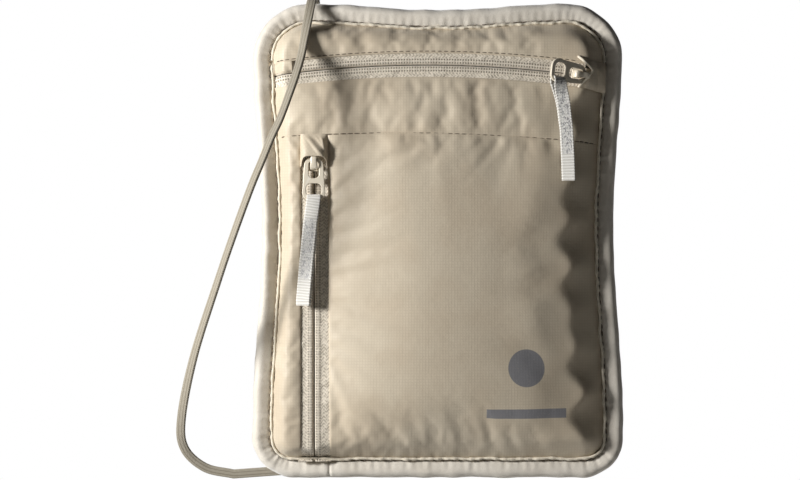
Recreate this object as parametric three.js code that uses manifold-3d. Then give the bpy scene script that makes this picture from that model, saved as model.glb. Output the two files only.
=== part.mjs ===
// Neck pouch wallet: a flat fabric pouch with two zipped pockets, worn on an elastic neck cord.
// Millimetres. +X right, +Z up, the front faces -Y. The origin is the centre of the flat back face.
// "Depth" is the distance forward of the back face, so y = -depth everywhere below.
import * as THREE from 'three';
import { mergeVertices } from 'three/addons/utils/BufferGeometryUtils.js';
import Module from 'manifold-3d';

const wasm = await Module();
wasm.setup();

// ---------------------------------------------------------------- driving dimensions
const GAP = 0.3; // clearance between neighbouring layers and pieces
const RIM = {
  halfWidth: 70.4, halfHeight: 90, topCorner: 22, bottomCorner: 15.5,
  sidePinch: 3.6, sidePinchReach: 75, topPinch: 2.4, topPinchReach: 50,
};
const BORDER = { width: 6.7, backDepth: 1.5, frontDepth: 6.6 };
const PIPING = { inset: 7.35, radius: 0.4, depth: 6.1 };
const BACK = { inset: 0.8, thickness: 1.2, mountRadius: 16 };
const PADDING = { inset: 8.5, from: 1.5, to: 2.7 };
const LINING = { inset: 8.5, from: 3.0, to: 3.3 };
const DIVIDER = { inset: 8.5, seamDepth: 4.6, depth: 8.2, thickness: 0.4, top: 37.5 };
const FRONT = { inset: 7.95, seamDepth: 5.6, depth: 13.0, thickness: 0.6, flankEnd: 13, bulge: 2.6 };
// Rings of a curved sheet, from its edge.
const SHEET_INSETS = [0, 1.1, 2.4, 3.8, 5.05, 9, 15, 22, 31, 41, 52];
const SHEET_SHRINKS = [0.7, 0.4]; // then its last ring shrinks to its centre in these shares
const OVERLAY = { lift: 0.3, thickness: 0.8 }; // small patches sewn on top of the front sheet
const PRINT = { lift: 0.3, thickness: 0.2, x: 33, discZ: -47.5, discRadius: 7, barZ: -64.5, barLength: 30,
  barHeight: 3.6 };

const TAPE = { half: 5.0, slit: 0.7 }; // half width of a closed zip and half of the slit between its tapes
const COIL = { inner: 0.75, outer: 2.05, from: 11.0, to: 12.1 };
const H_ZIP = { x: -4, top: 66, radius: 430, coilLeft: -56.3, coilRight: 56.3, sliderX: 54 };
H_ZIP.z = H_ZIP.top - H_ZIP.radius; // height of the centre of the curved zip
const H_END_TAB = { left: 53.6, right: 62.2, bottom: 56.8, top: 68.4, middle: 61.8, mouthX: 6.6,
  mouthZ: 4.5 };
const H_START_TAB = { left: -61.6, right: -55.4, bottom: 59.4, top: 68.2 };
const V_ZIP = { x: -46.7, coilBottom: -76, coilTop: 37.6, sliderZ: 30 };
// A tunnel of cloth over the closed slider.
const V_HOOD = { bottom: 31.3, top: 39.0, wall: 0.6, crest: 18.2, round: 2.6 };
const BAND_SEAM = { x: -15, top: 40.2, radius: 740 }; // topstitched seam under the upper band

const SLIDER = { length: 8.5, noseWidth: 5.6, tailWidth: 4.6, plateFrom: 13.3, plateTo: 14.2,
  backFrom: 10.0, backTo: 10.8, neckWidth: 1.0, neckLength: 2.4, neckZ: 2.4 };
const BRIDGE = { width: 2.2, bottom: -3.6, top: 3.2, foot: 1.5, depth: 17.0, beam: 0.9 };
const PULLER = { width: 8, length: 15.9, thickness: 1.1, bar: 1.1, holeWidth: 4.6, holeLength: 6.5,
  eyeWidth: 6.4, eyeLength: 5.0, web: 2.0, pivotZ: 0.4, pivotDepth: 15.15 };
const H_PULLER_TILT = 33; // degrees the horizontal zip's puller stands off the fabric at rest
const RIBBON = { width: 4.6, thickness: 0.5, loop: 1.15, throat: 5.2, v: 40.5, h: 38.5, vLean: 5 };

const CORD = { width: 3.5, thickness: 1.6, restDepth: -1.1 };
const ANCHOR = { x: 46.6, bottom: 76.4, top: 85.4, width: 9, from: -1.4, to: -0.3 };

// ---------------------------------------------------------------- materials
const CLOTH = { knit: '#c3baa8', ripstop: '#c9bda4', tape: '#b9ad96', piping: '#d6cbb5', lining: '#a99e8b',
  foam: '#e4e0d6', coil: '#a79b86', metal: '#b8a88e', ribbon: '#dcd9d0', cord: '#c8bfac', print: '#77767a' };
const soft = (color, roughness = 0.85) => new THREE.MeshStandardMaterial({ color, roughness, metalness: 0 });
const painted = (color) => new THREE.MeshStandardMaterial({ color, roughness: 0.4, metalness: 0.6 });

const group = new THREE.Group();
function add(name, geometry, material) {
  const mesh = new THREE.Mesh(geometry, material);
  mesh.name = name;
  group.add(mesh);
}

// ---------------------------------------------------------------- booleans
function toSolid(geometry) {
  const bare = geometry.clone();
  bare.deleteAttribute('normal');
  bare.deleteAttribute('uv');
  const merged = mergeVertices(bare, 1e-4);
  return new wasm.Manifold(new wasm.Mesh({
    numProp: 3,
    vertProperties: Float32Array.from(merged.attributes.position.array),
    triVerts: Uint32Array.from(merged.index.array),
  }));
}
function toGeometry(solid) {
  const mesh = solid.simplify(0.02).getMesh(); // drops the slivers that a cut can leave
  const geometry = new THREE.BufferGeometry();
  geometry.setAttribute('position', new THREE.BufferAttribute(mesh.vertProperties, 3));
  geometry.setIndex(new THREE.BufferAttribute(mesh.triVerts, 1));
  return geometry;
}
const common = (a, b) => toGeometry(toSolid(a).intersect(toSolid(b)));
const joined = (...parts) => toGeometry(parts.map(toSolid).reduce((sum, part) => sum.add(part)));

// ---------------------------------------------------------------- shapes in the x-z plane
const radians = (degrees) => (degrees * Math.PI) / 180;
const smooth = (t) => { const c = Math.min(Math.max(t, 0), 1); return c * c * (3 - 2 * c); };
const dip = (t) => (Math.abs(t) < 1 ? Math.cos((t * Math.PI) / 2) ** 2 : 0);

// The pouch is waisted: its sides and its top edge draw in a little towards their middles.
function waisted(x, z) {
  const side = (Math.abs(x) / RIM.halfWidth) * RIM.sidePinch * dip((z - 4) / RIM.sidePinchReach);
  const top = (Math.max(z, 0) / RIM.halfHeight) * RIM.topPinch * dip(x / RIM.topPinchReach);
  return [x - Math.sign(x) * side, z - top];
}

// One closed ring around the pouch, a given distance in from its rim. Every ring has the same point count.
const CORNER_STEPS = 6, SIDE_STEPS = 12, END_STEPS = 9;
function ring(inset) {
  const a = RIM.halfWidth - inset, b = RIM.halfHeight - inset;
  const points = [];
  const radius = (full) => Math.max(full - inset, 0.35 * Math.min(full, a));
  const corner = (sx, sz, r, from) => {
    for (let i = 0; i <= CORNER_STEPS; i++) {
      const turn = from + (i / CORNER_STEPS) * (Math.PI / 2);
      points.push([sx * (a - r) + r * Math.cos(turn), sz * (b - r) + r * Math.sin(turn)]);
    }
  };
  const straight = (end, steps) => {
    const start = points[points.length - 1];
    for (let i = 1; i < steps; i++) {
      const share = i / steps;
      points.push([start[0] + (end[0] - start[0]) * share, start[1] + (end[1] - start[1]) * share]);
    }
  };
  const rt = radius(RIM.topCorner), rb = radius(RIM.bottomCorner);
  corner(1, 1, rt, 0);
  straight([-(a - rt), b], END_STEPS);
  corner(-1, 1, rt, Math.PI / 2);
  straight([-a, -(b - rb)], SIDE_STEPS);
  corner(-1, -1, rb, Math.PI);
  straight([a - rb, -b], END_STEPS);
  corner(1, -1, rb, 1.5 * Math.PI);
  straight([a, b - rt], SIDE_STEPS);
  return points.map(([x, z]) => waisted(x, z));
}

// ---------------------------------------------------------------- solid builders
// Closed body from equal-length loops of [x, depth, z] points, joined in order; ends are fanned or joined up.
function loft(loops, closed = false) {
  const count = loops[0].length;
  const positions = loops.flat().flatMap(([x, depth, z]) => [x, -depth, z]);
  const index = [];
  const bands = closed ? loops.length : loops.length - 1;
  for (let k = 0; k < bands; k++) {
    const here = k * count, next = ((k + 1) % loops.length) * count;
    for (let i = 0; i < count; i++) {
      const j = (i + 1) % count;
      index.push(here + i, here + j, next + j, here + i, next + j, next + i);
    }
  }
  if (!closed) {
    for (const [loop, flip] of [[0, true], [loops.length - 1, false]]) {
      const hub = positions.length / 3;
      const mean = [0, 1, 2].map((axis) => loops[loop].reduce((sum, p) => sum + p[axis], 0) / count);
      positions.push(mean[0], -mean[1], mean[2]);
      for (let i = 0; i < count; i++) {
        const edge = [loop * count + i, loop * count + ((i + 1) % count)];
        index.push(...(flip ? [edge[1], edge[0], hub] : [edge[0], edge[1], hub]));
      }
    }
  }
  const geometry = new THREE.BufferGeometry();
  geometry.setAttribute('position', new THREE.Float32BufferAttribute(positions, 3));
  geometry.setIndex(index);
  return outward(geometry);
}

// Turn every triangle over if the body was wound inside out.
function outward(geometry) {
  const p = geometry.attributes.position, index = geometry.index.array;
  const a = new THREE.Vector3(), b = new THREE.Vector3(), c = new THREE.Vector3();
  let volume = 0;
  for (let i = 0; i < index.length; i += 3) {
    a.fromBufferAttribute(p, index[i]);
    b.fromBufferAttribute(p, index[i + 1]);
    c.fromBufferAttribute(p, index[i + 2]);
    volume += a.dot(b.cross(c));
  }
  if (volume < 0) {
    for (let i = 0; i < index.length; i += 3) [index[i], index[i + 1]] = [index[i + 1], index[i]];
  }
  return geometry;
}

// A prism over an x-z outline, between two depths.
function prism(outline, from, to) {
  const shape = outline instanceof THREE.Shape ? outline : polygon(outline);
  return new THREE.ExtrudeGeometry(shape, { depth: to - from, bevelEnabled: false, curveSegments: 10 })
    .translate(0, 0, from).rotateX(Math.PI / 2);
}
const polygon = (points) => new THREE.Shape(points.map(([x, z]) => new THREE.Vector2(x, z)));
const rectangle = (left, right, bottom, top) => [[left, bottom], [right, bottom], [right, top], [left, top]];
const block = (left, right, bottom, top, from, to) => prism(rectangle(left, right, bottom, top), from, to);

// A curved sheet over the pouch, from an inset inwards: depth(x, z, inset) is its front face.
function sheet(inset, thickness, depth) {
  const rings = SHEET_INSETS.map((step) => [inset + step, ring(inset + step)]);
  const [deepest, last] = rings[rings.length - 1];
  for (const share of SHEET_SHRINKS) rings.push([deepest, last.map(([x, z]) => [x * share, z * share])]);
  const face = (back) => rings.map(([at, points]) => points.map(([x, z]) => [x, depth(x, z, at) - back, z]));
  return loft([...face(thickness).reverse(), ...face(0)]);
}

// ---------------------------------------------------------------- the front surface
const flank = (inset) => smooth((inset - FRONT.inset) / (FRONT.flankEnd - FRONT.inset));
function frontDepth(x, z, inset) {
  const across = smooth((x + 38) / 34) * smooth((66 - x) / 26);
  const along = smooth((z + 84) / 34) * smooth((36 - z) / 40);
  return FRONT.seamDepth + (FRONT.depth - FRONT.seamDepth) * flank(inset) + FRONT.bulge * across * along;
}
const dividerDepth = (x, z, inset) => DIVIDER.seamDepth + (DIVIDER.depth - DIVIDER.seamDepth) * flank(inset);

// Points along the horizontal zip's arc at a distance from its centreline, between two x values.
const ARC_STEPS = 24;
function zipArc(offset, left, right) {
  const radius = H_ZIP.radius + offset;
  return Array.from({ length: ARC_STEPS + 1 }, (_, i) => {
    const x = left + ((right - left) * i) / ARC_STEPS;
    return [x, H_ZIP.z + Math.sqrt(radius ** 2 - (x - H_ZIP.x) ** 2)];
  });
}
const arcBand = (low, high, left, right) =>
  [...zipArc(low, left, right), ...zipArc(high, left, right).reverse()];

// The topstitched seam under the upper band: a shallow arc; shift moves it up or down.
function bandSeam(shift, left, right) {
  return Array.from({ length: ARC_STEPS + 1 }, (_, i) => {
    const x = left + ((right - left) * i) / ARC_STEPS;
    const rise = Math.sqrt(BAND_SEAM.radius ** 2 - (x - BAND_SEAM.x) ** 2) - BAND_SEAM.radius;
    return [x, BAND_SEAM.top + shift + rise];
  });
}
const belowSeam = (left, right) => [[right, -FAR], [left, -FAR], ...bandSeam(-GAP / 2, left, right)];
const FAR = 100; // beyond the pouch in every direction

// ---------------------------------------------------------------- back, padding and lining
function backPanel() {
  // The rear face is one flat polygon; a single large triangle in its middle carries the mount.
  const outline = ring(BACK.inset).map(([x, z]) => new THREE.Vector2(x, z));
  const middle = [90, 210, 330].map((turn) => new THREE.Vector2(
    BACK.mountRadius * Math.cos(radians(turn)), BACK.mountRadius * Math.sin(radians(turn))));
  const flat = [...outline, ...middle];
  const faces = [...THREE.ShapeUtils.triangulateShape(outline, [middle.slice().reverse()])];
  const hole = middle.map((_, i) => outline.length + (middle.length - 1 - i));
  const count = outline.length;
  const remap = (i) => (i < count ? i : hole[i - count]);
  const caps = [...faces.map((face) => face.map(remap)), [count, count + 1, count + 2]];
  const total = flat.length;
  const positions = [0, BACK.thickness].flatMap((depth) => flat.flatMap(({ x, y }) => [x, -depth, y]));
  const index = caps.flatMap(([a, b, c]) => [a, c, b, a + total, b + total, c + total]);
  for (let i = 0; i < count; i++) {
    const j = (i + 1) % count;
    index.push(i, j, j + total, i, j + total, i + total);
  }
  const geometry = new THREE.BufferGeometry();
  geometry.setAttribute('position', new THREE.Float32BufferAttribute(positions, 3));
  geometry.setIndex(index);
  return outward(geometry);
}

function edgeRing(insets, depths) {
  const rings = insets.map((inset) => ring(inset));
  return loft(rings.map((points, k) => points.map(([x, z]) => [x, depths[k], z])), true);
}
function roundedRing(inset, halfWidth, from, to, steps, squareness) {
  const turns = Array.from({ length: steps }, (_, i) => (i / steps) * 2 * Math.PI);
  const bend = (value) => Math.sign(value) * Math.abs(value) ** squareness;
  const middle = (from + to) / 2, half = (to - from) / 2;
  return edgeRing(turns.map((t) => inset - halfWidth * bend(Math.cos(t))),
    turns.map((t) => middle + half * bend(Math.sin(t))));
}

function addBackAndEdge() {
  add('back_panel', backPanel(), soft(CLOTH.knit, 0.95));
  add('back_padding', prism(ring(PADDING.inset), PADDING.from, PADDING.to), soft(CLOTH.foam, 0.95));
  add('back_lining', prism(ring(LINING.inset), LINING.from, LINING.to), soft(CLOTH.lining, 0.7));
  const half = BORDER.width / 2;
  add('edge_border', roundedRing(half, half, BORDER.backDepth, BORDER.frontDepth, 14, 0.7),
    soft(CLOTH.knit, 0.95));
  add('edge_piping',
    roundedRing(PIPING.inset, PIPING.radius - 0.05, PIPING.depth - 0.7, PIPING.depth + 0.7, 6, 1),
    soft(CLOTH.piping, 0.8));
  const divider = sheet(DIVIDER.inset, DIVIDER.thickness, dividerDepth);
  add('divider_panel', common(divider, block(-FAR, FAR, -FAR, DIVIDER.top, -1, 20)), soft(CLOTH.lining, 0.7));
}

// ---------------------------------------------------------------- front panels and zip tapes
function addFront() {
  const front = toSolid(sheet(FRONT.inset, FRONT.thickness, frontDepth));
  const piece = (outline) => toGeometry(front.intersect(toSolid(prism(outline, -1, 30))));
  const half = GAP / 2, tapeLeft = V_ZIP.x - TAPE.half, tapeRight = V_ZIP.x + TAPE.half;
  add('top_front_strip', piece([...zipArc(TAPE.half + half, -FAR, FAR), [FAR, FAR], [-FAR, FAR]]),
    soft(CLOTH.ripstop));
  add('upper_band', piece([...bandSeam(half, -FAR, FAR), ...zipArc(-TAPE.half - half, -FAR, FAR).reverse()]),
    soft(CLOTH.ripstop));
  add('left_front_strip', piece(belowSeam(-FAR, tapeLeft - half)), soft(CLOTH.ripstop));
  add('main_front_panel', piece(belowSeam(tapeRight + half, FAR)), soft(CLOTH.ripstop));
  const { slit } = TAPE;
  add('h_zip_tape_upper', piece(arcBand(slit, TAPE.half - half, -FAR, FAR)), soft(CLOTH.tape, 0.9));
  add('h_zip_tape_lower', piece(arcBand(-TAPE.half + half, -slit, -FAR, FAR)), soft(CLOTH.tape, 0.9));
  add('v_zip_tape_left', piece(belowSeam(tapeLeft + half, V_ZIP.x - slit)), soft(CLOTH.tape, 0.9));
  add('v_zip_tape_right', piece(belowSeam(V_ZIP.x + slit, tapeRight - half)), soft(CLOTH.tape, 0.9));
}

function addCoils() {
  const { inner, outer, from, to } = COIL;
  const { coilLeft, coilRight } = H_ZIP;
  const nylon = soft(CLOTH.coil, 0.5);
  add('h_zip_coil_upper', prism(arcBand(inner, outer, coilLeft, coilRight), from, to), nylon.clone());
  add('h_zip_coil_lower', prism(arcBand(-outer, -inner, coilLeft, coilRight), from, to), nylon.clone());
  const { x, coilBottom, coilTop } = V_ZIP;
  const bar = (left, right) => block(x + left, x + right, coilBottom, coilTop, from, to);
  add('v_zip_coil_left', bar(-outer, -inner), nylon.clone());
  add('v_zip_coil_right', bar(inner, outer), nylon.clone());
}

// Patches sewn over the zip ends follow the front surface a little above it.
function addPatches() {
  const cover = toSolid(sheet(FRONT.inset, OVERLAY.thickness,
    (x, z, inset) => frontDepth(x, z, inset) + OVERLAY.lift + OVERLAY.thickness));
  const patch = (shape) => toGeometry(cover.intersect(toSolid(prism(shape, -1, 30))));
  const { left, right, bottom, top, middle, mouthX, mouthZ } = H_END_TAB;
  const steps = 12;
  const mouth = Array.from({ length: steps + 1 }, (_, i) => {
    const turn = Math.PI / 2 - (i / steps) * Math.PI;
    return [left + mouthX * Math.cos(turn), middle + mouthZ * Math.sin(turn)];
  });
  add('h_zip_end_tab', patch([[left, top], ...mouth, [left, bottom], [right, bottom], [right, top]]),
    soft(CLOTH.ripstop));
  const start = H_START_TAB;
  add('h_zip_start_tab', patch(rectangle(start.left, start.right, start.bottom, start.top)),
    soft(CLOTH.ripstop));
}

// A fabric tunnel over the top end of the upright zip; the closed slider's upper half sits inside it.
function addHood() {
  const { bottom, top, wall, crest, round } = V_HOOD;
  const base = FRONT.depth + GAP, half = TAPE.half + GAP;
  const arch = (inset, r) => {
    const side = half - inset, high = crest - inset;
    return [[side, base], ...cornerArc(side - r, high - r, r, 0),
      ...cornerArc(r - side, high - r, r, Math.PI / 2), [-side, base]];
  };
  const wallOutline = [...arch(0, round), ...arch(wall, round - wall).reverse()];
  // Drawn as (x, depth), extruded upwards.
  const settings = { depth: top - bottom, bevelEnabled: false };
  const tunnel = new THREE.ExtrudeGeometry(polygon(wallOutline), settings);
  tunnel.applyMatrix4(new THREE.Matrix4().set(-1, 0, 0, V_ZIP.x, 0, -1, 0, 0, 0, 0, 1, bottom, 0, 0, 0, 1));
  add('v_zip_hood', tunnel, soft(CLOTH.ripstop));
}
function cornerArc(x, z, radius, from, steps = 5) {
  return Array.from({ length: steps + 1 }, (_, i) => {
    const turn = from + (i / steps) * (Math.PI / 2);
    return [x + radius * Math.cos(turn), z + radius * Math.sin(turn)];
  });
}

function addPrint() {
  const film = toSolid(sheet(FRONT.inset, PRINT.thickness,
    (x, z, inset) => frontDepth(x, z, inset) + PRINT.lift + PRINT.thickness));
  const printed = (shape) => toGeometry(film.intersect(toSolid(prism(shape, -1, 30))));
  const { x, discZ, discRadius, barZ, barLength, barHeight } = PRINT;
  add('printed_disc', printed(new THREE.Shape().absarc(x, discZ, discRadius, 0, 2 * Math.PI)),
    soft(CLOTH.print, 0.6));
  const [halfLength, halfHeight] = [barLength / 2, barHeight / 2];
  add('printed_bar',
    printed(rectangle(x - halfLength, x + halfLength, barZ - halfHeight, barZ + halfHeight)),
    soft(CLOTH.print, 0.6));
}

// ---------------------------------------------------------------- slider, puller and ribbon
// All three are built upright at x = 0, z = 0, closing upwards, at their true depths, then placed.
function sliderBody() {
  const { length, noseWidth, tailWidth, plateFrom, plateTo, backFrom, backTo } = SLIDER;
  const { neckWidth, neckLength, neckZ } = SLIDER;
  const top = length / 2, nose = noseWidth / 2, tail = tailWidth / 2, ease = 1.2;
  const plate = [[-tail, -top + ease], [-tail + ease, -top], [tail - ease, -top], [tail, -top + ease],
    [nose, top - 2 * ease], [nose, top - ease], [nose - ease, top], [-nose + ease, top], [-nose, top - ease],
    [-nose, top - 2 * ease]];
  const overlap = 0.1;
  const neck = block(-neckWidth / 2, neckWidth / 2, neckZ - neckLength / 2, neckZ + neckLength / 2,
    backTo - overlap, plateFrom + overlap);
  return joined(prism(plate, plateFrom, plateTo), prism(plate, backFrom, backTo), neck, bridge());
}

// The bridge is an arch along the slider; the puller's bar turns inside it.
function bridge() {
  const { width, bottom, top, foot, depth, beam } = BRIDGE;
  const base = SLIDER.plateTo - 0.1, round = 1.2;
  const arch = new THREE.Shape();
  arch.moveTo(bottom, base);
  arch.lineTo(bottom, depth - round);
  arch.absarc(bottom + round, depth - round, round, Math.PI, Math.PI / 2, true);
  arch.lineTo(top - round, depth);
  arch.absarc(top - round, depth - round, round, Math.PI / 2, 0, true);
  arch.lineTo(top, base);
  arch.lineTo(top - foot, base);
  arch.lineTo(top - foot, depth - beam);
  arch.lineTo(bottom + foot, depth - beam);
  arch.lineTo(bottom + foot, base);
  // Drawn as (z, depth), extruded across x.
  const solid = new THREE.ExtrudeGeometry(arch, { depth: width, bevelEnabled: false, curveSegments: 4 });
  return solid.translate(0, 0, -width / 2).applyMatrix4(new THREE.Matrix4().set(
    0, 0, 1, 0, 0, -1, 0, 0, 1, 0, 0, 0, 0, 0, 0, 1));
}

function roundedBox(halfWidth, bottom, top, radius, Kind = THREE.Shape) {
  const path = new Kind();
  path.moveTo(halfWidth, bottom + radius);
  path.lineTo(halfWidth, top - radius);
  path.absarc(halfWidth - radius, top - radius, radius, 0, Math.PI / 2);
  path.lineTo(-halfWidth + radius, top);
  path.absarc(-halfWidth + radius, top - radius, radius, Math.PI / 2, Math.PI);
  path.lineTo(-halfWidth, bottom + radius);
  path.absarc(-halfWidth + radius, bottom + radius, radius, Math.PI, 1.5 * Math.PI);
  path.lineTo(halfWidth - radius, bottom);
  path.absarc(halfWidth - radius, bottom + radius, radius, 1.5 * Math.PI, 2 * Math.PI);
  return path;
}

const BAR_TOP = PULLER.pivotZ + PULLER.bar / 2;
const HOLE_TOP = BAR_TOP - PULLER.bar, HOLE_BOTTOM = HOLE_TOP - PULLER.holeLength;
const EYE_TOP = HOLE_BOTTOM - PULLER.web, EYE_BOTTOM = EYE_TOP - PULLER.eyeLength;
const PULLER_BOTTOM = BAR_TOP - PULLER.length;
function puller() {
  const { width, thickness, holeWidth, eyeWidth, pivotDepth } = PULLER;
  const plate = roundedBox(width / 2, PULLER_BOTTOM, BAR_TOP, 2.4);
  plate.holes.push(roundedBox(holeWidth / 2, HOLE_BOTTOM, HOLE_TOP, 1.6, THREE.Path));
  plate.holes.push(roundedBox(eyeWidth / 2, EYE_BOTTOM, EYE_TOP, 0.5, THREE.Path));
  return new THREE.ExtrudeGeometry(plate, { depth: thickness, bevelEnabled: false, curveSegments: 4 })
    .translate(0, 0, pivotDepth - thickness / 2).rotateX(Math.PI / 2);
}

// A ribbon folded over a bar at the origin: a round loop whose two legs run together and hang down.
function ribbon(length) {
  const { width, thickness, loop, throat } = RIBBON;
  const outer = loop + thickness;
  const band = new THREE.Shape();
  band.moveTo(outer, 0);
  band.absarc(0, 0, outer, 0, Math.PI);
  band.lineTo(-thickness - 0.05, -throat - 2);
  band.lineTo(-thickness - 0.05, outer - length);
  band.lineTo(thickness + 0.05, outer - length);
  band.lineTo(thickness + 0.05, -throat - 2);
  const inside = new THREE.Path();
  inside.moveTo(-loop, 0);
  inside.absarc(0, 0, loop, Math.PI, 0, true);
  inside.lineTo(0, -throat);
  band.holes.push(inside);
  // Drawn as (depth, z), extruded across x.
  const solid = new THREE.ExtrudeGeometry(band, { depth: width, bevelEnabled: false, curveSegments: 8 });
  return solid.translate(0, 0, -width / 2).applyMatrix4(new THREE.Matrix4().set(
    0, 0, -1, 0, -1, 0, 0, 0, 0, 1, 0, 0, 0, 0, 0, 1));
}

const shift = (x, depth, z) => new THREE.Matrix4().makeTranslation(x, -depth, z);
const turnY = (degrees) => new THREE.Matrix4().makeRotationY(radians(degrees));
const chain = (...steps) => steps.reduce((all, step) => all.multiply(step), new THREE.Matrix4());

function addPulls() {
  const metal = painted(CLOTH.metal), woven = soft(CLOTH.ribbon, 0.7);
  const { pivotZ, pivotDepth } = PULLER;

  const vPlace = shift(V_ZIP.x, 0, V_ZIP.sliderZ);
  const vBar = (EYE_BOTTOM + PULLER_BOTTOM) / 2;
  add('v_zip_slider', sliderBody().applyMatrix4(vPlace), metal.clone());
  add('v_zip_puller', puller().applyMatrix4(vPlace), metal.clone());
  const hang = chain(vPlace, shift(0, pivotDepth, vBar), turnY(RIBBON.vLean));
  add('v_zip_ribbon', ribbon(RIBBON.v).applyMatrix4(hang),
    woven.clone());

  // The horizontal zip closes to the right along its arc, so its slider is turned to the arc's tangent.
  const lean = (Math.asin((H_ZIP.sliderX - H_ZIP.x) / H_ZIP.radius) * 180) / Math.PI;
  const sliderZ = H_ZIP.z + H_ZIP.radius * Math.cos(radians(lean));
  const hPlace = chain(shift(H_ZIP.sliderX, 0, sliderZ), turnY(90 + lean));
  const tilt = chain(shift(0, pivotDepth, pivotZ), new THREE.Matrix4().makeRotationX(-radians(H_PULLER_TILT)),
    shift(0, -pivotDepth, -pivotZ));
  const rail = (PULLER.eyeWidth + PULLER.width) / 4;
  add('h_zip_slider', sliderBody().applyMatrix4(hPlace), metal.clone());
  add('h_zip_puller', puller().applyMatrix4(chain(hPlace, tilt)), metal.clone());
  add('h_zip_ribbon', ribbon(RIBBON.h).applyMatrix4(chain(hPlace, tilt,
    shift(rail, pivotDepth, (EYE_TOP + EYE_BOTTOM) / 2), turnY(-90 - lean))), woven.clone());
}

// ---------------------------------------------------------------- neck cord
// Waypoints are [x, depth, z]. A free curve falls over the front; straights with round bends lie behind.
const CORD_FRONT = [
  [-46.6, -1.1, 85.9], [-46.6, -1.1, 89], [-46.9, 3.5, 93.2], [-48, 11.5, 90.5], [-49.6, 17, 81],
  [-52.3, 22, 69.5], [-56.8, 25, 54.7], [-62.5, 25.5, 38], [-69.7, 22, 19], [-81.8, 13, -15],
  [-91.7, 6.5, -43.4],
  [-97.2, 2.6, -67], [-96.6, 0.7, -79], [-89, -0.8, -86.6], [-78, -1.1, -89.2]];
const CORD_BACK = [[-78, -89.2], [50, -80], [50, -58], [-40, -52], [-40, -32], [46.6, -26], [46.6, 75.4]];
const CORD_BEND = 9.5, BEND_STEPS = 8, FRONT_STEPS = 72, TOP_BEND_STEPS = 12;

function roundedRun(points, radius) {
  const path = [points[0]];
  for (let i = 1; i < points.length - 1; i++) {
    const corner = new THREE.Vector2(...points[i]);
    const back = new THREE.Vector2(...points[i - 1]).sub(corner).normalize();
    const ahead = new THREE.Vector2(...points[i + 1]).sub(corner).normalize();
    const half = back.angleTo(ahead) / 2;
    const middle = back.clone().add(ahead).normalize();
    const centre = corner.clone().add(middle.multiplyScalar(radius / Math.sin(half)));
    const from = corner.clone().add(back.multiplyScalar(radius / Math.tan(half))).sub(centre);
    const to = corner.clone().add(ahead.multiplyScalar(radius / Math.tan(half))).sub(centre);
    const start = from.angle();
    const sweep = Math.atan2(from.cross(to), from.dot(to));
    for (let k = 0; k <= BEND_STEPS; k++) {
      const turn = start + (sweep * k) / BEND_STEPS;
      path.push([centre.x + radius * Math.cos(turn), centre.y + radius * Math.sin(turn)]);
    }
  }
  return [...path, points[points.length - 1]];
}

// The flat braid: a rounded strip swept along the path. Its broad face turns over at the top edge.
function neckCord() {
  const waypoints = CORD_FRONT.map((p) => new THREE.Vector3(p[0], -p[1], p[2]));
  const curve = new THREE.CatmullRomCurve3(waypoints, false, 'centripetal');
  const back = roundedRun(CORD_BACK, CORD_BEND).slice(1)
    .map(([x, z]) => new THREE.Vector3(x, -CORD.restDepth, z));
  const path = [...curve.getSpacedPoints(FRONT_STEPS), ...back];
  const section = [[-1, -0.5], [-0.8, -1], [0.8, -1], [1, -0.5], [1, 0.5], [0.8, 1], [-0.8, 1], [-1, 0.5]];
  let across = new THREE.Vector3(-1, 0, 0);
  const loops = path.map((point, i) => {
    const tangent = path[Math.min(i + 1, path.length - 1)].clone().sub(path[Math.max(i - 1, 0)]).normalize();
    across = across.clone().addScaledVector(tangent, -across.dot(tangent)).normalize();
    const flat = tangent.clone().cross(new THREE.Vector3(0, -1, 0));
    if (i > TOP_BEND_STEPS) across.lerp(flat.normalize(), 0.5).normalize();
    const face = across.clone().cross(tangent).normalize();
    return section.map(([w, t]) => {
      const p = point.clone().addScaledVector(across, (w * CORD.width) / 2)
        .addScaledVector(face, (t * CORD.thickness) / 2);
      return [p.x, -p.y, p.z];
    });
  });
  return loft(loops);
}

function addCord() {
  add('neck_cord', neckCord(), soft(CLOTH.cord, 0.8));
  for (const [side, sign] of [['left', -1], ['right', 1]]) {
    const { x, bottom, top, width, from, to } = ANCHOR;
    add(`cord_anchor_${side}`, block(sign * x - width / 2, sign * x + width / 2, bottom, top, from, to),
      soft(CLOTH.knit, 0.95));
  }
}

addBackAndEdge();
addFront();
addCoils();
addPatches();
addHood();
addPrint();
addPulls();
addCord();

export default group;
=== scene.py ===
"""Neck pouch wallet, the visual model. Shapes are worked out in millimetres as (x, depth, z), where depth is
the distance forward of the flat back face, and placed in the CAD's frame in metres: y = -depth."""
import math

import bpy
import numpy as np
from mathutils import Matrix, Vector
from mathutils.kdtree import KDTree


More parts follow.
